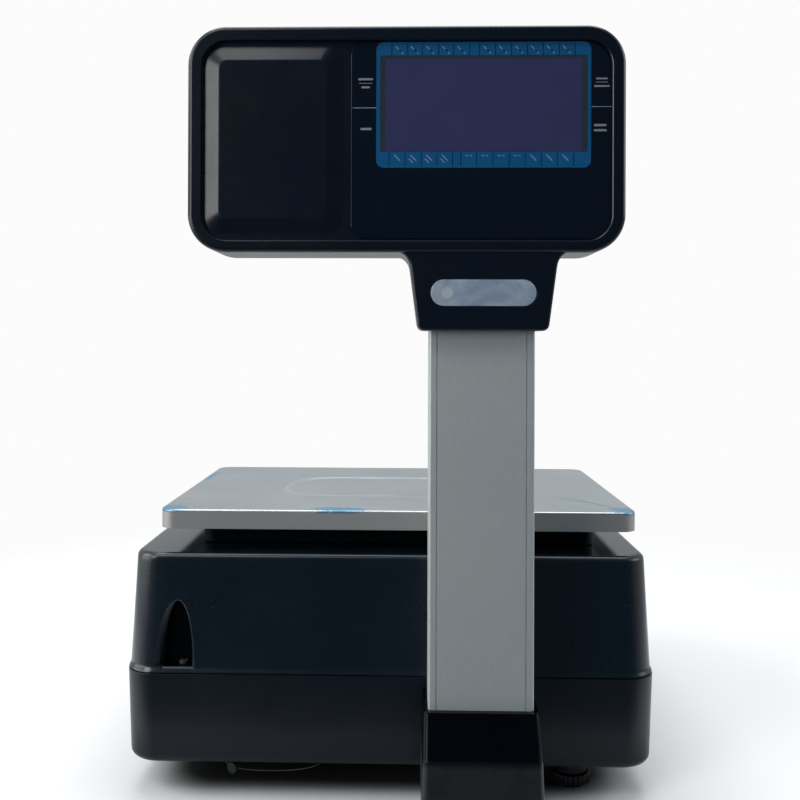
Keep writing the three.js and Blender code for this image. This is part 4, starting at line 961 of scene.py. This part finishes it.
def make_window_print():
    """Plain dividers and bars in place of the window's lettering."""
    ink = PANE_TOP + INK
    lines = [(u, 143.0, 0.55, 9.0) for u in UPPER] + [(u, 65.6, 0.55, 9.6) for u in LOWER]
    strip("print_dividers", lines, ink, NAVY, FINE)
    high, low = middles(UPPER), middles(LOWER)
    bars = [(u - 0.9, 143.4, 6.2, 0.9) for u in high] + [(u + 0.9, 141.6, 4.6, 0.8) for u in high]
    strip("print_bars_upper", bars, ink, PALE, FINE, tilt=-0.8)
    tilted = low[:4] + low[8:]
    bars = [(u, 66.8, 6.0, 0.9) for u in tilted] + [(u - 1.6, 64.8, 4.2, 0.8) for u in tilted[1:4]]
    strip("print_bars_lower", bars, ink, PALE, FINE, tilt=-0.8)
    level = [(u - 1.3, 68.3, 2.2, 0.8) for u in low[4:8]] + [(u + 1.6, 68.3, 1.6, 0.8) for u in low[4:8]]
    strip("print_bars_level", level, ink, PALE, FINE)
    side = [(-29.0, 102.1, 16.6, 0.55), (137.2, 102.6, 16.4, 0.5), (-28.4, 122.3, 10.6, 1.5)]
    side += [(-28.4, 119.4, 9.4, 0.4), (-28.4, 116.6, 6.0, 1.5), (-28.0, 87.2, 8.0, 1.6)]
    side += [(137.4, 122.3, 8.4, 1.2), (137.4, 119.8, 8.4, 0.4), (137.4, 117.0, 11.0, 1.2)]
    side += [(136.4, 89.6, 9.0, 1.6), (136.4, 86.0, 9.4, 1.6)]
    strip("print_white", side, PANE_TOP, WHITE, INK)


def make_operator_window():
    back = -HEAD_REAR + 0.4
    pane = slab("pane", rect(-131, 131, 15, 143, 12, 12), back, back + 1.1, bottom=0.35, turn=face)
    piece(pane, "operator_pane", GLOSS, replaces="operator_window")
    ring = slab("frame", rect(-84, 84, 55, 137, 6, 8), back - INK, back, turn=face)
    window = slab("cutter", rect(-73, 73, 63, 129, 1, 2), back - 1, back + 1, turn=face)
    piece(cut(ring, window), "operator_frame", BLUE)
    mark("operator_surround", (-72.9, 72.9, 63.1, 128.9), back, LCD_EDGE, -1)
    mark("operator_area", (-69.5, 69.5, 65.5, 126.5), back - FINE, LCD_GLASS, -1)
    bars = [(-63 + 14 * i, v, 8.0, 1.2) for v in (59.2, 133.2) for i in range(10)]
    strip("operator_bars", bars, back - INK, PALE, FINE, -1)
    side = [(x, y, 20, 1.8) for x in (-108, 108) for y in (112, 84)]
    side += [(x, 98, 34, 0.5) for x in (-108, 108)]
    strip("operator_white", side, back, WHITE, INK, -1)


# ---- keyboard
DIGITS = {(1, 9): "7", (1, 10): "8", (1, 11): "9", (2, 9): "4", (2, 10): "5", (2, 11): "6"}
DIGITS |= {(3, 9): "1", (3, 10): "2", (3, 11): "3", (4, 9): "0"}
SHADES = {"white": KEY_WHITE, "blue": KEY_BLUE, "red": KEY_RED, "green": KEY_GREEN}


def key_kind(row, column):
    if column > 12:
        return ("red", "blue", "blue", "green", "green", "green")[row]
    if column > 8:
        return "white" if row else "red" if column == 12 else "blue"
    return "white" if (row + column) % 9 == 8 else "blue"


def key_place(row, column):
    """A key's middle on the slope. The figures and the last two columns stand a little apart."""
    return -132 + column * 20.6 + (6 if column > 8 else 0) + (4 if column > 12 else 0), 21.5 + row * 17.2


def make_keypad():
    sheet = slab("film", rect(-146, 190, 9, SLOPE_L - 9, 4, 6), -1.1, 0.15, top=0.25, turn=on_slope)
    piece(sheet, "keypad_sheet", FILM, replaces="keypad_panel")
    groups = {kind: [] for kind in SHADES}
    for row in range(6):
        for column in range(15):
            x, s = key_place(row, column)
            key = rect(x - 8.2, x + 8.2, s - 6.6, s + 6.6, 2.0, 4)
            key = slab("key", key, 0.1, 0.62, top=0.3, turn=on_slope, steps=3)
            groups[key_kind(row, column)].append(key)
    for kind, keys in groups.items():
        piece(merged(f"keys_{kind}", keys), f"keys_{kind}", SHADES[kind])


def make_digits():
    tilt = Matrix.Rotation(math.pi, 4, "Z") @ Matrix.Rotation(SLOPE_A, 4, "X")
    for place, figure in DIGITS.items():
        curve = bpy.data.curves.new(f"digit_{figure}", "FONT")
        curve.body = figure
        curve.size = 9 * MM
        curve.extrude = 0.03 * MM
        curve.align_x = "CENTER"
        curve.align_y = "CENTER"
        curve.materials.append(GLOSS)
        text = placed(f"digit_{figure}", curve)
        text.matrix_world = Matrix.Translation(Vector(on_slope(*key_place(*place), 0.66)) * MM) @ tilt
        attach(text, "base")


def make_level():
    glass = slab("vial", circle(7.4, -170, 34), -6, 1.0, top=0.8, turn=on_slope)
    piece(glass, "level_vial", VIAL, replaces="bubble_level")
    collar = slab("collar", circle(9.6, -170, 34), 0.3, 1.3, top=0.4, turn=on_slope)
    collar = cut(collar, slab("cutter", circle(7.5, -170, 34), 0, 3, turn=on_slope))
    piece(collar, "level_collar", INNER)
    target = slab("target", circle(3.6, -170, 34), 1.0, 1.06, turn=on_slope)
    target = cut(target, slab("cutter", circle(3.2, -170, 34), 0.9, 1.2, turn=on_slope))
    piece(target, "level_ring", INNER)
    bubble = slab("bubble", circle(2.5, -169.6, 34.4, 24), 1.0, 1.05, turn=on_slope)
    piece(bubble, "level_bubble", PALE)


# ---- small parts and the inside
def make_roll():
    m = Nodes("label_paper_wound")
    axes = m.axes()
    y, z = m.add(axes[1], -0.048), m.add(axes[2], -0.108)
    radius = m.add(m.add(m.times(y, y), m.times(z, z)), 0.5, "POWER")
    turns = m.add(m.times(radius, 9000.0), 0.0, "SINE")
    base = m.mix(m.ranged(turns, 0.0, 1.0, -1.0, 1.0), (0.62, 0.61, 0.57, 1), (0.82, 0.81, 0.78, 1))
    m.set(Base_Color=base, Roughness=m.ranged(m.noise(60.0), 0.62, 0.78), Normal=m.bump(turns, 0.15, 0.00008))
    roll = cut(rod("x", 44, (-186, -124), (48, 108), 96, "roll"), rod("x", 20.6, (-190, -120), (48, 108), 64))
    piece(roll, "roll_paper", m.owner, "roll", "label_roll", bevel=0.3)
    core = cut(rod("x", 20, (-187, -123), (48, 108), 64, "core"), rod("x", 12.8, (-190, -120), (48, 108), 48))
    piece(core, "roll_tube", CARD, "roll", "roll_core", bevel=0.2)


def make_screws():
    x, y = -159, -154
    head = slab("screw", circle(3.6, x, y, 32), 99.3, 101.6, top=0.7)
    head = cut(head, block((x - 2.2, x + 2.2), (y - 0.4, y + 0.4), (100.6, 103)))
    head = cut(head, block((x - 0.4, x + 0.4), (y - 2.2, y + 2.2), (100.6, 103)))
    screw = join(head, rod("z", 1.9, (78, 100), (x, y), 16))
    piece(screw, "cover_fixing", WIRE, replaces="cover_screw")


# Bevel in mm of each CAD node that stays visible, by material.
CARRIED = [
    (SCREW, {"door_pin": 0.2, "overload_stop": 0.5, "platen_shaft": 0.3}),
    (ZINC, {
        "chassis_plate": 0.5, "cell_post": 0.6, "pole_bracket": 0.4, "printer_chassis": 0.25,
        "feed_motor": 0.4, "power_supply": 0.6,
    }),
    (CELL, {"load_cell": 0.6, "port_block": 0.2, "print_head_arm": 0.4}),
    (LCD_EDGE, {"customer_lcd": 0.3, "operator_lcd": 0.3}),
    (BOARD, {"display_board": 0.2, "main_board": 0.15}),
    (NYLON, {
        "neck_plug": 0.6, "roll_spindle": 0.5, "liner_spool": 0.5, "platen_gear": 0.15,
        "motor_pinion": 0.15,
    }),
    (HEADBLACK, {"label_bezel": 0.5}),
    (INNER, {"power_inlet": 0.25, "switch_housing": 0.25, "power_rocker": 0.4}),
    (WIRE, {"seal_wire": 0.0}),
    (LEAD, {"lead_seal": 0.7}),
    (RUBBER, {"platen_roller": 0.4}),
    (GLOSS, {"print_head": 0.3}),
]


def dress_carried():
    for material, bevels in CARRIED:
        for node, bevel in bevels.items():
            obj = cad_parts[node]
            for slot in obj.material_slots:
                slot.material = material
            if not obj.material_slots:
                obj.data.materials.append(material)
            soften(obj, 34, bevel)


# ---- stage, light and camera
# Where the painted shadow round the base and the floor's round and front edges begin and end, in metres.
PAINTED_SHADOW = (0.026, 0.066)
ROUND_EDGE = (0.42, 0.9)
FRONT_EDGE = (-0.30, -0.185)


def make_floor():
    """A pale disc with soft edges, with a painted shadow where the base stands close above it."""
    m = Nodes("floor_pale")
    tone = m.mix(m.ranged(m.noise(3.0), 0.0, 1.0), (0.88, 0.88, 0.88, 1), (0.91, 0.91, 0.91, 1))
    folded = m.vector("ABSOLUTE", m.vector("ADD", m.coords, (0.0, -0.035, 0.0)))
    beyond = m.vector("ADD", folded, (-0.135, -0.140, 0.0))
    reach = m.vector("LENGTH", m.vector("MAXIMUM", beyond, (0.0, 0.0, 0.0)))
    # Painted shadow: the floor's colour turns near black under the base.
    tone = m.mix(m.ranged(reach, 1.0, 0.0, *PAINTED_SHADOW, "SMOOTHSTEP"), tone, (0.012, 0.013, 0.014, 1))
    away = m.vector("LENGTH", m.vector("ADD", m.coords, (0.0, -0.12, 0.0)))
    edge = m.ranged(away, 1.0, 0.0, *ROUND_EDGE, "SMOOTHSTEP")
    front = m.ranged(m.axes()[1], 0.0, 1.0, *FRONT_EDGE, "SMOOTHSTEP")
    m.set(Base_Color=tone, Roughness=m.ranged(m.noise(60.0), 0.6, 0.7), Alpha=m.times(edge, front))
    floor = mesh_object("floor", [(x, y, 0.0) for x, y in circle(1700, n=96)], [list(range(96))])
    floor.data.materials.append(m.owner)


# The studio from behind the customer (0) to behind the scale (1).
SKY = [
    (0.0, (0.055, 0.080, 0.110)),
    (0.16, (0.055, 0.080, 0.110)),
    (0.34, (0.34, 0.36, 0.38)),
    (0.60, (0.54, 0.56, 0.58)),
    (1.0, (0.49, 0.525, 0.55)),
]


def make_world():
    """A studio that is darker behind the customer, and plain and pale where it is seen directly."""
    world = bpy.data.worlds.new("studio")
    bpy.context.scene.world = world
    m = Nodes("studio", world)
    ramp = m.node("ShaderNodeValToRGB", {0: m.ranged(m.axes()[1], 0.0, 1.0, -1.0, 1.0)})
    stops = ramp.color_ramp.elements
    stops.remove(stops[1])
    stops[0].color = (*SKY[0][1], 1)
    for position, color in SKY[1:]:
        stops.new(position).color = (*color, 1)
    seen = m.node("ShaderNodeLightPath").outputs["Is Camera Ray"]
    m.set(Color=m.mix(seen, ramp.outputs[0], (0.97, 0.97, 0.97, 1)), Strength=1.0)


def area(name, at, towards, size, power, tint=(1, 1, 1)):
    data = bpy.data.lights.new(name, "AREA")
    data.shape = "RECTANGLE"
    data.size, data.size_y = size
    data.energy = power
    data.color = tint
    light = placed(name, data)
    light.location = at
    light.visible_camera = False
    light.rotation_euler = (Vector(towards) - Vector(at)).to_track_quat("-Z", "Y").to_euler()


def make_lights():
    area("side_left", (-2.0, -0.3, 1.6), (0, 0, 0.25), (1.5, 1.2), 18)
    area("side_right", (2.1, -0.2, 1.2), (0, 0, 0.25), (1.4, 1.2), 12)
    area("above", (0.0, 0.45, 2.5), (0, 0, 0.2), (2.2, 1.6), 38)
    area("front_left", (-1.5, -1.75, 0.95), (0, -0.2, 0.5), (0.8, 1.0), 13)
    area("left_card", (-1.8, -0.60, 0.32), (0, -0.1, 0.15), (1.5, 0.6), 6.0)
    area("front_above", (-0.85, -1.4, 2.32), (0, -0.2, 0.4), (1.3, 0.9), 12.0, (0.97, 0.985, 1.0))


def make_camera():
    yaw, pitch, roll = (math.radians(a) for a in (1.428, 0.125, 0.195))
    forward = Vector((-math.sin(yaw) * math.cos(pitch), math.cos(yaw) * math.cos(pitch), math.sin(pitch)))
    right = Vector((math.cos(yaw), math.sin(yaw), 0))
    up = right.cross(forward)
    x = right * math.cos(roll) + up * math.sin(roll)
    y = up * math.cos(roll) - right * math.sin(roll)
    data = bpy.data.cameras.new("camera")
    data.sensor_width = 36
    data.lens = 43.011
    data.shift_x = 0.0202
    data.shift_y = -0.0792
    data.dof.use_dof = False
    data.clip_start, data.clip_end = 0.02, 60
    camera = placed("camera", data)
    turned = Matrix((x, y, -forward)).transposed().to_4x4()
    camera.matrix_world = Matrix.Translation((0.01387, -0.89323, 0.35125)) @ turned
    bpy.context.scene.camera = camera


make_camera()
make_floor()
make_world()
make_lights()
bpy.context.scene.view_settings.view_transform = "Standard"
make_pan()
make_cover()
make_door()
make_platter()
make_carrier()
make_buttons()
make_feet()
make_pole()
make_shoe()
make_head_front()
make_head_rear()
make_badge()
make_head_screws()
make_customer_window()
make_window_print()
make_operator_window()
make_keypad()
make_digits()
make_level()
make_roll()
make_screws()
dress_carried()
